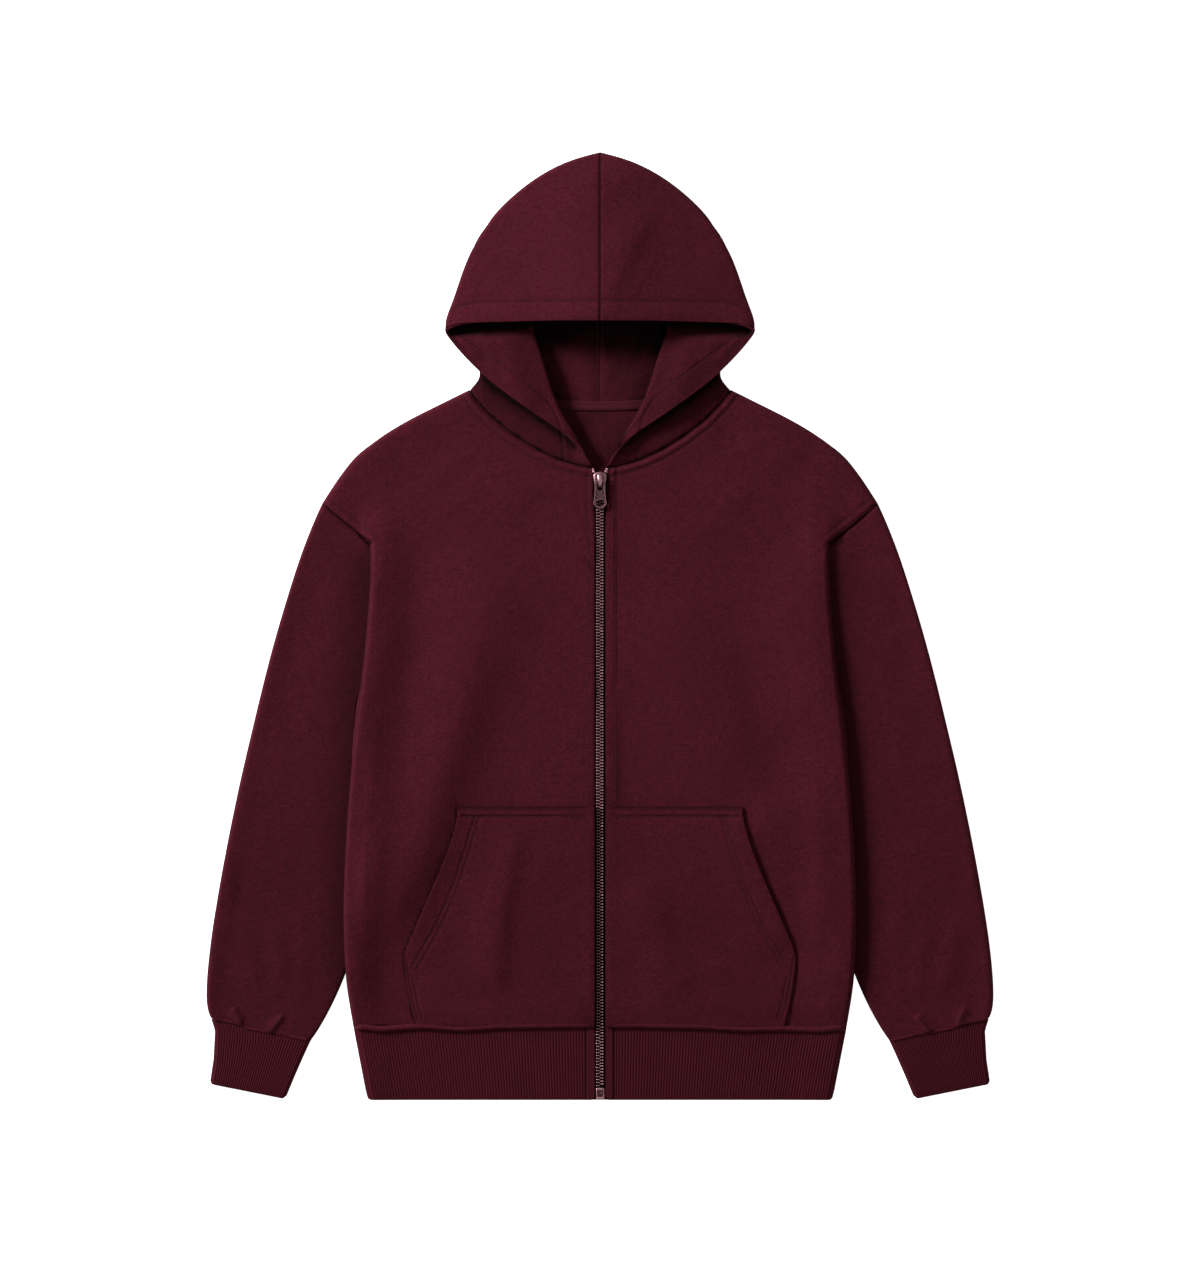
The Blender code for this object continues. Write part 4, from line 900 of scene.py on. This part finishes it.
def hem_welt_foot(way):
    """The foot of the hem's welt on one half, which dips at the side fold."""
    foot = []
    for step in range(HEM_WELT_STEPS + 1):
        x = ZIP_EDGE + 0.6 + (HEM_WELT_RUN - ZIP_EDGE) * step / HEM_WELT_STEPS
        inset = max(0.0, HEM_ROUND - (HEM_WELT_EDGE - x)) / HEM_ROUND
        z = HEM_WELT_Z + 1.3 * (1.0 - inset)
        z += 2.0 * float(ease((x - 190.0) / 40.0)) * (1.0 - inset ** 2)
        foot.append((way * x, HEM_SEAM - 0.8 + hem_wave(way * x), z))
    return foot


def cuff_welt_foot(way):
    """The foot of a cuff's welt, from the outer edge to the inner one."""
    outer, inner = Vector(CUFF[0][:2]), Vector(CUFF[0][2:4])
    foot = []
    for step in range(CUFF_WELT_STEPS + 1):
        share = CUFF_WELT_ENDS[0] + CUFF_WELT_ENDS[1] * step / CUFF_WELT_STEPS
        spot = outer.lerp(inner, share)
        to_edge = min(share, 1.0 - share) * (inner - outer).length
        foot.append((way * spot.x, spot.y + float(np.interp(share, *zip(*CUFF_SEAM))),
                     CUFF[0][4] + 2.5 * rounding(to_edge, CUFF_ROUND)))
    return foot


for side, way in (("right", -1.0), ("left", 1.0)):
    welt(f"hem_{side}_seam", hem_welt_foot(way), 6.2, 2.9)
    welt(f"cuff_{side}_welt_seam", cuff_welt_foot(-way), 3.6, 1.3)


# turned-in ends of the seams, where three pieces meet: x, h, z of each end, width and height
SEAM_ENDS = (
    ("underarm", ((-230.0, 412.0, 0.8), (-234.8, 384.0, 0.8), (-238.2, 354.0, 0.8),
                  (-240.0, 330.0, 0.8)), 11.0, 6.4),
    ("cuff", ((-291.0, 62.5, 0.5), (-282.8, 59.4, 0.5)), 5.0, 3.4),
    ("wrist", ((-374.6, 80.6, 0.6), (-379.2, 81.8, 0.6)), 4.4, 3.6),
    ("neck", ((-128.8, 695.6, 0.3), (-122.4, 687.4, 0.3)), 3.4, 2.8),
)
for name, ends, wide, high in SEAM_ENDS:
    for side, way in (("right", 1.0), ("left", -1.0)):
        welt(f"{name}_{side}_seam", [(way * x, h, z) for x, h, z in ends], wide, high)


# ---- neck tape and zip tapes: twill ----------------------------------------------------------
# A narrow twill tape covers the seam at the back of the neck, and the zip's teeth are clamped on
# two tapes of the same weave, which the plackets are stitched to.


def twill(name, light):
    """Close herringbone twill."""
    paint = Paint(name, Roughness=0.8, Specular_IOR_Level=0.08)
    rise = paint.add("ShaderNodeTexWave", {"bands_direction": "DIAGONAL"},
                     {"Vector": paint.place(), "Scale": 560.0, "Distortion": 0.6})
    threads = paint.cloud(paint.place(), 0.0007, 2.0)
    deep, pale, painted_shade_colour = dyed(RIB, (0.7, 1.3, 0.06), light)
    colour = paint.mix(rise * 0.5 + threads * 0.5, deep, pale)
    # painted shade: the stored share mixes the colour towards near black
    paint.feed("Base Color", paint.mix(paint.shelter(), colour, painted_shade_colour))
    paint.feed("Normal", paint.bump(rise + threads * 0.5, 0.0003, 0.5))
    return paint.material


# the neck tape's colour is the rib's made 1.3 times as light; the zip tapes' colour at 0.35 is painted
# shade for the gap beside the teeth
panel("neck_tape", 2, twill("neck_twill", 1.3))
zip_twill = twill("zip_twill", 0.35)
for side in ("right", "left"):
    panel("zip_tape_" + side, 1, zip_twill)


# ---- zip: metal teeth, box and stops ---------------------------------------------------------
# Each nickel-plated tooth is a small clamp on its tape's cord whose nib reaches between two
# teeth of the other side. A box closes the lower end, and a bent stop the top of each side.

NICKEL = (0.46, 0.235, 0.265)
TOOTH_PITCH = 2.94
TEETH_FROM_H = 14.0
TEETH_TO_H = 599.4
TEETH_Z = 4.9
TOOTH_X = 2.65
BOX_X = 0.2
BOX_WELLS = 5.6  # h of the rib between the box's two wells
STOP_PLACE = (6.1, 615.8, 8.0)
STOP_TURN = 0.5


def plated(name, rough=0.3, light=1.0):
    """Dark nickel plate, with the small tarnish and scuffs of tumbled metal."""
    paint = Paint(name, Metallic=1.0)
    where = paint.place()
    tarnish = paint.cloud(where, 0.0016, 3.0, 0.6)
    scuffs = paint.cloud(where, 0.0004, 2.0)
    dull, bright, painted_shade_colour = dyed(NICKEL, (0.6, 1.45, 0.06), light)
    colour = paint.mix(paint.contrast(tarnish, 2.0), dull, bright)
    # painted shade: the stored share mixes the colour towards near black
    paint.feed("Base Color", paint.mix(paint.shelter(), colour, painted_shade_colour))
    paint.feed("Roughness", tarnish * 0.25 + (rough - 0.1))
    paint.feed("Normal", paint.bump(scuffs, 0.0001, 0.35))
    return paint.material


tooth_nickel = plated("tooth_nickel", 0.34)


def lump(size, place, bevel, segments=1):
    """A block with rounded edges, in millimetres, as the start of a small metal shape."""
    shape = bmesh.new()
    bmesh.ops.create_cube(shape, size=1.0)
    bmesh.ops.scale(shape, verts=shape.verts[:], vec=Vector(size))
    bmesh.ops.bevel(shape, geom=shape.edges[:], offset=bevel, segments=segments, profile=0.5,
                    affect="EDGES", material=-1)
    bmesh.ops.translate(shape, verts=shape.verts[:], vec=Vector(place))
    return shape


def repeated(name, shapes, frames):
    """One mesh of copies of a few small shapes, one for each (matrix, shape index)."""
    corners, faces, parts = [], [], []
    for shape in shapes:
        shape.verts.ensure_lookup_table()
        parts.append(([vert.co.copy() for vert in shape.verts],
                      [[vert.index for vert in face.verts] for face in shape.faces]))
        shape.free()
    for matrix, index in frames:
        first = len(corners)
        corners += [(matrix @ corner) * MM for corner in parts[index][0]]
        faces += [[first + corner for corner in face] for face in parts[index][1]]
    mesh = bpy.data.meshes.new(name)
    mesh.from_pydata(corners, [], faces)
    mesh.shade_smooth()
    mesh.set_sharp_from_angle(angle=math.radians(50))
    return mesh


clamp = lump((2.5, 1.75, 2.5), (0.15, 0.0, 0.0), 0.62)
nib = lump((2.1, 1.05, 1.3), (-1.75, 0.0, 0.25), 0.3)
teeth = []
for way in (1.0, -1.0):
    h = TEETH_FROM_H + (TOOTH_PITCH / 2 if way > 0 else 0.0)
    while h < TEETH_TO_H:
        spot = Matrix.Translation((way * TOOTH_X, h + HEM_Y, TEETH_Z))
        turned = spot @ Matrix.Rotation(0.0 if way > 0 else math.pi, 4, "Z")
        teeth += [(turned, 0), (turned, 1)]
        h += TOOTH_PITCH
sewn_on("zip_teeth", repeated("zip_teeth", (clamp, nib), teeth), tooth_nickel, "zip_chain")

# the box, stops, slider and pull are painted a quarter lighter than the teeth, as painted highlight
bright_nickel = plated("bright_nickel", 0.4, 1.25)


def metal_piece(name, shape, node, body="garment"):
    """A small metal shape that was drawn in millimetres, smoothed and put on its body."""
    return sewn_on(name, as_mesh(name, shape, 45, MM), bright_nickel, node, body)


# the box: a folded case with the pin's slot pressed through its top, and a crimp below it
box = lump((8.2, 10.6, 3.4), (BOX_X, 6.6 + HEM_Y, 5.3), 0.9, 3)
top = [face for face in box.faces if face.normal.z > 0.99]
bmesh.ops.inset_region(box, faces=top, thickness=0.9, depth=0.0, use_even_offset=True)
top = [face for face in box.faces if face.normal.z > 0.99 and face.calc_area() > 20.0
       and abs(face.calc_center_median().x - BOX_X) < 0.1]
bmesh.ops.bisect_plane(box, geom=top + list(top[0].edges) + list(top[0].verts),
                       plane_co=(0.0, BOX_WELLS + HEM_Y, 0.0), plane_no=(-0.35, 1.0, 0.0))
wells = [face for face in box.faces if face.normal.z > 0.99 and face.calc_area() > 6.0]
for face in wells:
    bmesh.ops.inset_region(box, faces=[face], thickness=0.55, depth=-1.3, use_even_offset=True)
metal_piece("zip_end_box", box, "zip_box")

for side, way in (("right", -1.0), ("left", 1.0)):
    stop = lump((2.3, 2.7, 1.9), (0.0, 0.0, 0.0), 0.7, 2)
    second = lump((2.2, 2.4, 1.8), (way * 1.7, 1.6, -0.1), 0.7, 2)
    spare = bpy.data.meshes.new("spare")
    second.to_mesh(spare)
    second.free()
    stop.from_mesh(spare)
    bpy.data.meshes.remove(spare)
    x, h, z = STOP_PLACE
    bmesh.ops.rotate(stop, verts=stop.verts[:], matrix=Matrix.Rotation(way * STOP_TURN, 3, "Z"))
    bmesh.ops.translate(stop, verts=stop.verts[:], vec=(way * x, h + HEM_Y, z))
    metal_piece("zip_top_stop_" + side, stop, "zip_stop_" + side)


# ---- slider and pull tab ---------------------------------------------------------------------
# The slider is a die-cast wedge with an arched bridge. The pull tab hangs on the bridge, and has
# a raised rim, a sunk panel and an oval eye at its end.

PULL_PIVOT = Vector((0.0, 606.0 + HEM_Y, 9.9))
PULL_SLOPE = math.radians(3.0)
PULL_HALF = 0.75  # half of its thickness at the rim
PULL_PANEL = 0.2  # height of the sunk panel above the tab's middle


def oval(centre, radius_x, radius_y, start, end, steps):
    """Points along an ellipse's arc, in degrees."""
    angles = [math.radians(start + (end - start) * step / steps) for step in range(steps + 1)]
    return [(radius_x * math.cos(a), centre + radius_y * math.sin(a)) for a in angles]


def ring_wall(shape, rings):
    """Joins closed rings of the same count into one surface, the first to the next and so on."""
    turns = [[shape.verts.new(point) for point in ring] for ring in rings]
    for first, second in zip(turns, turns[1:]):
        for a, b, c, d in zip(first, first[1:] + first[:1], second[1:] + second[:1], second):
            shape.faces.new((a, b, c, d))
    return [[shape.edges.get((a, b)) for a, b in zip(turn, turn[1:] + turn[:1])] for turn in turns]


def offset_ring(ring, inwards, z):
    """A ring of (x, y) places moved inwards, at a height."""
    points = []
    for index, (x, y) in enumerate(ring):
        before, after = ring[index - 1], ring[(index + 1) % len(ring)]
        run = Vector((after[0] - before[0], after[1] - before[1]))
        run.normalize()
        points.append((x - run.y * inwards, y + run.x * inwards, z))
    return points


def plate_with_holes(outline, holes, low, high, panel_z):
    """A plate with a raised rim round its outline and holes, the panel between sunk a little."""
    shape = bmesh.new()
    border = []
    for ring, way, rim in [(outline, 1.0, 1.0)] + [(hole, -1.0, 0.8) for hole in holes]:
        section = ((rim, low), (0.25, low), (0.0, low + 0.25), (0.0, high - 0.35), (0.3 * rim, high),
                   (0.65 * rim, high), (0.9 * rim, high - 0.3), (rim, panel_z))
        border.append(ring_wall(shape, [offset_ring(ring, way * inwards, z) for inwards, z in section]))
    for layer in (0, -1):
        edges = [edge for loops in border for edge in loops[layer]]
        bmesh.ops.triangle_fill(shape, use_beauty=True, use_dissolve=False, edges=edges)
    return shape


# x, y of the tab's half outline, its slot for the bridge and its eye, from the pivot down
pull_side = [(0.0, 0.9), (3.6, 0.9), (4.6, 0.55), (5.1, -0.4),
             (5.15, -4.5), (5.2, -9.0), (5.35, -13.0), (5.9, -17.6)]
pull_outline = mirror(pull_side) + oval(-20.6, 6.6, 5.6, 180.0, 360.0, 20) + pull_side[:0:-1]
pull_slot = [(0.0, -1.1), (-3.1, -1.1), (-3.1, -4.0)] + oval(-7.0, 3.1, 2.2, 180.0, 360.0, 10)
pull_slot += [(3.1, -4.0), (3.1, -1.1)]
pull_eye = oval(-20.9, 4.6, 3.4, 0.0, 342.0, 19)
pull = plate_with_holes(pull_outline, (pull_slot, pull_eye), -PULL_HALF, PULL_HALF, PULL_PANEL)
bmesh.ops.rotate(pull, verts=pull.verts[:], matrix=Matrix.Rotation(PULL_SLOPE, 3, "X"))
bmesh.ops.translate(pull, verts=pull.verts[:], vec=PULL_PIVOT)
metal_piece("zip_pull_tab", pull, "zip_pull", "pull_tab")


# x, h round the slider's plate, which is a wedge with rounded edges over a core
SLIDER = ((-6.4, 612.3), (-6.0, 607.5), (-4.9, 600.6), (0.0, 600.3), (4.9, 600.6),
          (6.0, 607.5), (6.4, 612.3), (4.6, 614.6), (0.0, 615.5), (-4.6, 614.6))
# how far in from that outline, and z, from the plate's foot over its edge
SLIDER_EDGE = ((0.6, 7.1), (0.0, 7.5), (0.0, 8.0), (0.35, 8.4), (1.1, 8.6), (2.2, 8.35))
BRIDGE_H, BRIDGE_Z = 607.6, 8.2
BRIDGE_LONG, BRIDGE_HIGH = 6.2, 3.9  # half its length, and its rise
BRIDGE_STEPS = 14
# share of its half width, and height off its middle line, round the bridge's section
BRIDGE_SECTION = ((-1.0, 0.0), (-0.8, 0.42), (-0.35, 0.6), (0.35, 0.6),
                  (0.8, 0.42), (1.0, 0.0), (0.7, -0.5), (-0.7, -0.5))
slider = lump((9.8, 12.9, 4.2), (0.0, 607.5 + HEM_Y, 5.6), 0.8, 2)
wedge = [(x, h + HEM_Y) for x, h in SLIDER]
plate = [offset_ring(wedge, inwards, z) for inwards, z in SLIDER_EDGE]
bridge = []
for step in range(BRIDGE_STEPS + 1):
    angle = math.pi * (1.0 - step / BRIDGE_STEPS)
    half = 2.6 - (1.0 - step / BRIDGE_STEPS) ** 1.5  # pear-shaped: broader at its lower end
    centre = Vector((0.0, BRIDGE_H + HEM_Y + BRIDGE_LONG * math.cos(angle),
                     BRIDGE_Z + BRIDGE_HIGH * math.sin(angle)))
    out = Vector((0.0, math.cos(angle) / BRIDGE_LONG, math.sin(angle) / BRIDGE_HIGH)).normalized()
    bridge.append([centre + Vector((half * x, 0.0, 0.0)) + out * z for x, z in BRIDGE_SECTION])
for rings in (plate, bridge):
    loops = ring_wall(slider, rings)
    for loop in (loops[0], loops[-1]):
        bmesh.ops.contextual_create(slider, geom=loop)
metal_piece("zip_slider_body", slider, "zip_slider")


# ---- topstitching ----------------------------------------------------------------------------
# Twin or single rows of thick cotton thread hold the turned seams and hems flat. Each stitch
# sinks at both ends into a needle hole, whose shade is painted as a small near-black grain.

STITCH_PITCH = 3.0
THREAD = (0.075, 0.0105, 0.018)
HOLE_PAINTED_SHADE = (0.004, 0.0008, 0.001)
STITCH_SIZE = (1.2, 0.42, 0.3)
HOLE_SIZE = (0.62, 0.55, 0.16)
FAR_ABOVE = 90.0  # from here a stitch is dropped onto its cloth
TAPE_ROWS = (-3.2, 2.0)  # the two rows on the neck tape, from its middle


def sewing_thread(name, colour):
    """Plied cotton thread, dyed with the garment."""
    paint = Paint(name, Roughness=0.75, Specular_IOR_Level=0.1)
    plies = paint.add("ShaderNodeTexWave", {"bands_direction": "DIAGONAL"},
                      {"Vector": paint.place(), "Scale": 1400.0, "Distortion": 0.5})
    paint.feed("Base Color", paint.mix(plies, *dyed(colour, (0.75, 1.2))))
    return paint.material


def grain(size):
    """A small rounded grain with few faces."""
    shape = bmesh.new()
    bmesh.ops.create_uvsphere(shape, u_segments=6, v_segments=4, radius=1.0)
    bmesh.ops.scale(shape, verts=shape.verts[:], vec=Vector(size))
    return shape


def row_frames(piece, line):
    """Places of a row's stitches and holes on a piece, along (x, h) points."""
    cloth = bpy.data.objects[piece]
    tree = BVHTree.FromPolygons([vert.co for vert in cloth.data.vertices],
                                [face.vertices[:] for face in cloth.data.polygons])
    line = np.array([(x, h, 0.0) for x, h in line])
    spots, ways = resampled(line, STITCH_PITCH / 2)
    frames = []
    for index, (spot, way) in enumerate(zip(spots, ways)):
        above = at(spot[0], spot[1], FAR_ABOVE)
        hit, normal = tree.ray_cast(above, Vector((0.0, 0.0, -1.0)))[:2]
        if hit is None or normal.z < 0.5:
            continue
        along = Vector(way).cross(normal).cross(-normal).normalized()
        turn = Matrix((along, normal.cross(along), normal)).transposed().to_4x4()
        frames.append((Matrix.Translation(hit / MM) @ turn, index % 2))
    return frames


stitches = []
for side, turned, placket in zip(("right", "left"), (list, mirror), PLACKET_STITCHES):
    stitches += row_frames(f"front_{side}_cloth", ((placket, 76.0), (placket, 613.0)))
    stitches += row_frames("hem_knit", ((placket, 3.0), (placket, 67.0)))
    for part, rows in (("front", (NECK_ROW, ARMHOLE_ROW)), ("pocket", POCKET_ROWS),
                       ("hood", (HOOD_HEM_ROW, LAPEL_ROW[:5], LAPEL_ROW[6:], HOLLOW_ROW))):
        for row in rows:
            stitches += row_frames(f"{part}_{side}_cloth", turned(row))
for off in TAPE_ROWS:
    tape_row = [(x, 681.0 + off + 14.8 * (x / 128.4) ** 2) for x in range(-56, 57, 4)]
    stitches += row_frames("neck_tape_cloth", tape_row)
# the needle holes are grains in a near-black colour: painted shade, not thread
for name, size, material, is_hole in (
        ("topstitching", STITCH_SIZE, sewing_thread("sewing_thread", THREAD), 0),
        ("needle_holes", HOLE_SIZE, sewing_thread("needle_hole", HOLE_PAINTED_SHADE), 1)):
    places = [(frame_at, 0) for frame_at, hole in stitches if hole == is_hole]
    sewn_on(name, repeated(name, (grain(size),), places), material)


# ---- painted shade ---------------------------------------------------------------------------
# Cloth deep in a fold, under the hood's rim or against another layer gets painted shade, darker
# where it would catch little light. Each point stores how much of its outlook other cloth covers,
# and more painted shade is added along seams and rows of stitches and at some set places.

PAINTED_SHADE_REACH = 0.06
METAL_REACH = 0.005
LAYER_ABOVE = 0.006  # a layer this near above a point lies on it
OUTLOOKS = 20
OPEN_SHARE = 0.06  # share of covered looks that a point in the open has too
PAINTED_SHADE_GAIN = 2.0
EVENINGS = 3  # times the shade is evened out between neighbouring points
HOOD_DEEPER = 1.35  # the hood is a deep hollow, which light reaches least
HOLLOW_SHADE = 0.5  # the hollow's floor beneath the rim
RIM_SHADE = 0.6  # the turned edges beneath the rim
NECK_SHADE = {"right": 0.32, "left": 0.12}  # the neck outside the roll, and the roll's shadow
TURNED_SHADE = 0.22  # the left turned edge faces away from the light
SEAM_SHADE = 0.75
ROW_SHADE = 0.3
LINE_WIDE = 1.1
UNLIT_POCKET_EDGE = 0.3  # the left pocket throws its own shadow on the front
ZIP_BAND_SHADE = 0.6
PLACKET_SHADE = 0.45
INSIDE_NECK_SHADE = 0.35
PANEL_SHADE = 0.75  # the pull's sunk panel
TUCK_SHARE = 0.2
SLOPE_SHADE = 0.16  # the right sleeve's lower half slopes away from the light
BODY_SHADE = {"sleeve_right_cloth": (0.5, 26.0), "sleeve_left_cloth": (0.5, 22.0)}  # most, reach
sewn_lines = {"pocket": (((-139.0, POCKET_TOP), (-14.0, POCKET_TOP)), POCKET_EDGE[7:]),
              "front": (NECKLINE, ARMHOLE[:3], POCKET_EDGE), "sleeve": (ARMHOLE[:3],),
              "hood": (NECKLINE, CENTRE_SEAM)}
row_lines = {"sleeve": CUFF_PLEATS, "front": (NECK_ROW, ARMHOLE_ROW), "pocket": POCKET_ROWS,
             "hood": (HOOD_HEM_ROW, LAPEL_ROW)}
shaded = [piece for piece in bpy.data.objects if piece.name not in frame["nodes"]
          and (piece.name.endswith(("_cloth", "_knit", "_seam")) or piece.name.startswith("zip_"))]
corners, faces = [], []
for piece in shaded:
    first = len(corners)
    corners += [vert.co for vert in piece.data.vertices]
    faces += [[first + index for index in face.vertices] for face in piece.data.polygons]
all_pieces = BVHTree.FromPolygons(corners, faces)
golden = math.pi * (3.0 - math.sqrt(5.0))
outlook = []
for look in range(OUTLOOKS):
    rise = math.sqrt((look + 0.5) / OUTLOOKS)
    out = math.sqrt(1.0 - rise * rise)
    outlook.append(Vector((out * math.cos(golden * look), out * math.sin(golden * look), rise)))


def covered_share(vert, metal):
    """How much of a point's outlook other pieces cover, less what a point in the open has."""
    if vert.normal.z <= -0.2:
        return 0.0
    turn = vert.normal.to_track_quat("Z", "Y")
    start = vert.co + vert.normal * (0.0001 if metal else 0.0006)
    reach = METAL_REACH if metal else PAINTED_SHADE_REACH
    covered = sum(all_pieces.ray_cast(start, turn @ way, reach)[0] is not None for way in outlook)
    if not metal and all_pieces.ray_cast(start, Vector((0.0, 0.0, 1.0)), LAYER_ABOVE)[0] is not None:
        return 0.0  # another layer lies on it, and no dark may seep out beside its edge
    return PAINTED_SHADE_GAIN * max(0.0, covered / OUTLOOKS - OPEN_SHARE)


def evened(shelter, mesh):
    """Each point's shade as the mean of its own and its neighbours'."""
    ends = np.array([edge.vertices[:] for edge in mesh.edges])
    meets = np.bincount(ends.ravel(), minlength=len(shelter)) + 1
    for _ in range(EVENINGS):
        total = shelter.copy()
        np.add.at(total, ends[:, 0], shelter[ends[:, 1]])
        np.add.at(total, ends[:, 1], shelter[ends[:, 0]])
        shelter = total / meets
    return shelter


def hood_shade(spots, heights, side):
    """Painted shade beneath the rim, and outside the roll where the hood meets the neck."""
    x, h = spots.T
    roll = -np.interp(h, [high for _, high in ROLL_LINE], [off for off, _ in ROLL_LINE])
    neck = ease((np.abs(x) - roll - 2.0) / 6.0) * (1.0 - ease((h - 735.0) / 10.0))
    beneath_rim = ease((h - 750.0) / 16.0) * (1.0 - ease((h - 832.0) / 14.0))
    return (HOLLOW_SHADE * (heights < 6.0) * ease((h - 722.0) / 34.0)
            + NECK_SHADE[side] * neck * (heights < 10.5)
            + RIM_SHADE * (heights > 6.0) * (heights < 15.6) * beneath_rim)


def line_shade(spots, heights, part, left):
    """Painted shade in seams, and a little beside rows of stitches."""
    shade = np.zeros(len(spots))
    for lines, most in ((sewn_lines, SEAM_SHADE), (row_lines, ROW_SHADE)):
        for line in lines.get(part, ()):
            distance = off_line(spots, mirror(line) if left else line)[0]
            shown = heights > 6.0 if line is CENTRE_SEAM else 1.0
            if line is POCKET_EDGE and left:
                shown = UNLIT_POCKET_EDGE
            shade += most * np.exp(-(distance / LINE_WIDE) ** 2) * shown
    return shade


for piece in shaded:
    metal = piece.name.startswith("zip_") and not piece.name.endswith("_cloth")
    shelter = np.array([covered_share(vert, metal) for vert in piece.data.vertices])
    if not metal:
        shelter = evened(shelter, piece.data)
    places = np.array([vert.co[:] for vert in piece.data.vertices]) / MM
    spots, heights = places[:, :2] - (0.0, HEM_Y), places[:, 2]
    off_zip, h = np.abs(spots[:, 0]), spots[:, 1]
    part, _, side = piece.name.partition("_")
    left = side.startswith("left")
    if part == "hood":
        shelter = shelter * HOOD_DEEPER + hood_shade(spots, heights, "left" if left else "right")
    shelter += line_shade(spots, heights, part, left)
    if piece.name == "hem_knit":
        shelter += ZIP_BAND_SHADE * np.exp(-((off_zip - HEM_STITCHES) / 0.9) ** 2) * (heights > 4.0)
    if part == "back":
        shelter += INSIDE_NECK_SHADE * ease((h - 604.0) / 20.0) * (1.0 - ease((off_zip - 96.0) / 20.0))
    if piece.name == "hood_left_cloth":
        shelter += TURNED_SHADE * (heights > 9.0) * (1.0 - ease((h - 735.0) / 25.0))
    if piece.name == "zip_pull_tab":
        level = Matrix.Rotation(-PULL_SLOPE, 3, "X")
        depths = np.array([(level @ (vert.co / MM - PULL_PIVOT)).z for vert in piece.data.vertices])
        shelter += PANEL_SHADE * (np.abs(depths - PULL_PANEL) < 0.02)
    if piece.name.startswith(("neck_right", "neck_left", "underarm")):
        shelter *= TUCK_SHARE
    if part == "front":
        placket = PLACKET_STITCHES[1 if left else 0]
        shelter += PLACKET_SHADE * np.exp(-((spots[:, 0] - placket) / 1.2) ** 2)
    if piece.name == "sleeve_right_cloth":
        shelter += SLOPE_SHADE * ease((360.0 - h) / 160.0)
    if piece.name in BODY_SHADE:
        most, reach = BODY_SHADE[piece.name]
        beyond = off_zip - np.interp(h, *np.array(SIDE).T)
        dark = most * np.exp(-(np.maximum(beyond, 0.0) / reach) ** 2)
        dark *= (1.0 - ease((h - 520.0) / 40.0)) * (beyond > -8.0)
        shelter = np.maximum(shelter, dark)
    # the painted shade is stored on each point, for the materials to mix into their colour
    layer = piece.data.attributes.new("shelter", "FLOAT", "POINT")
    layer.data.foreach_set("value", np.minimum(shelter, 1.0))
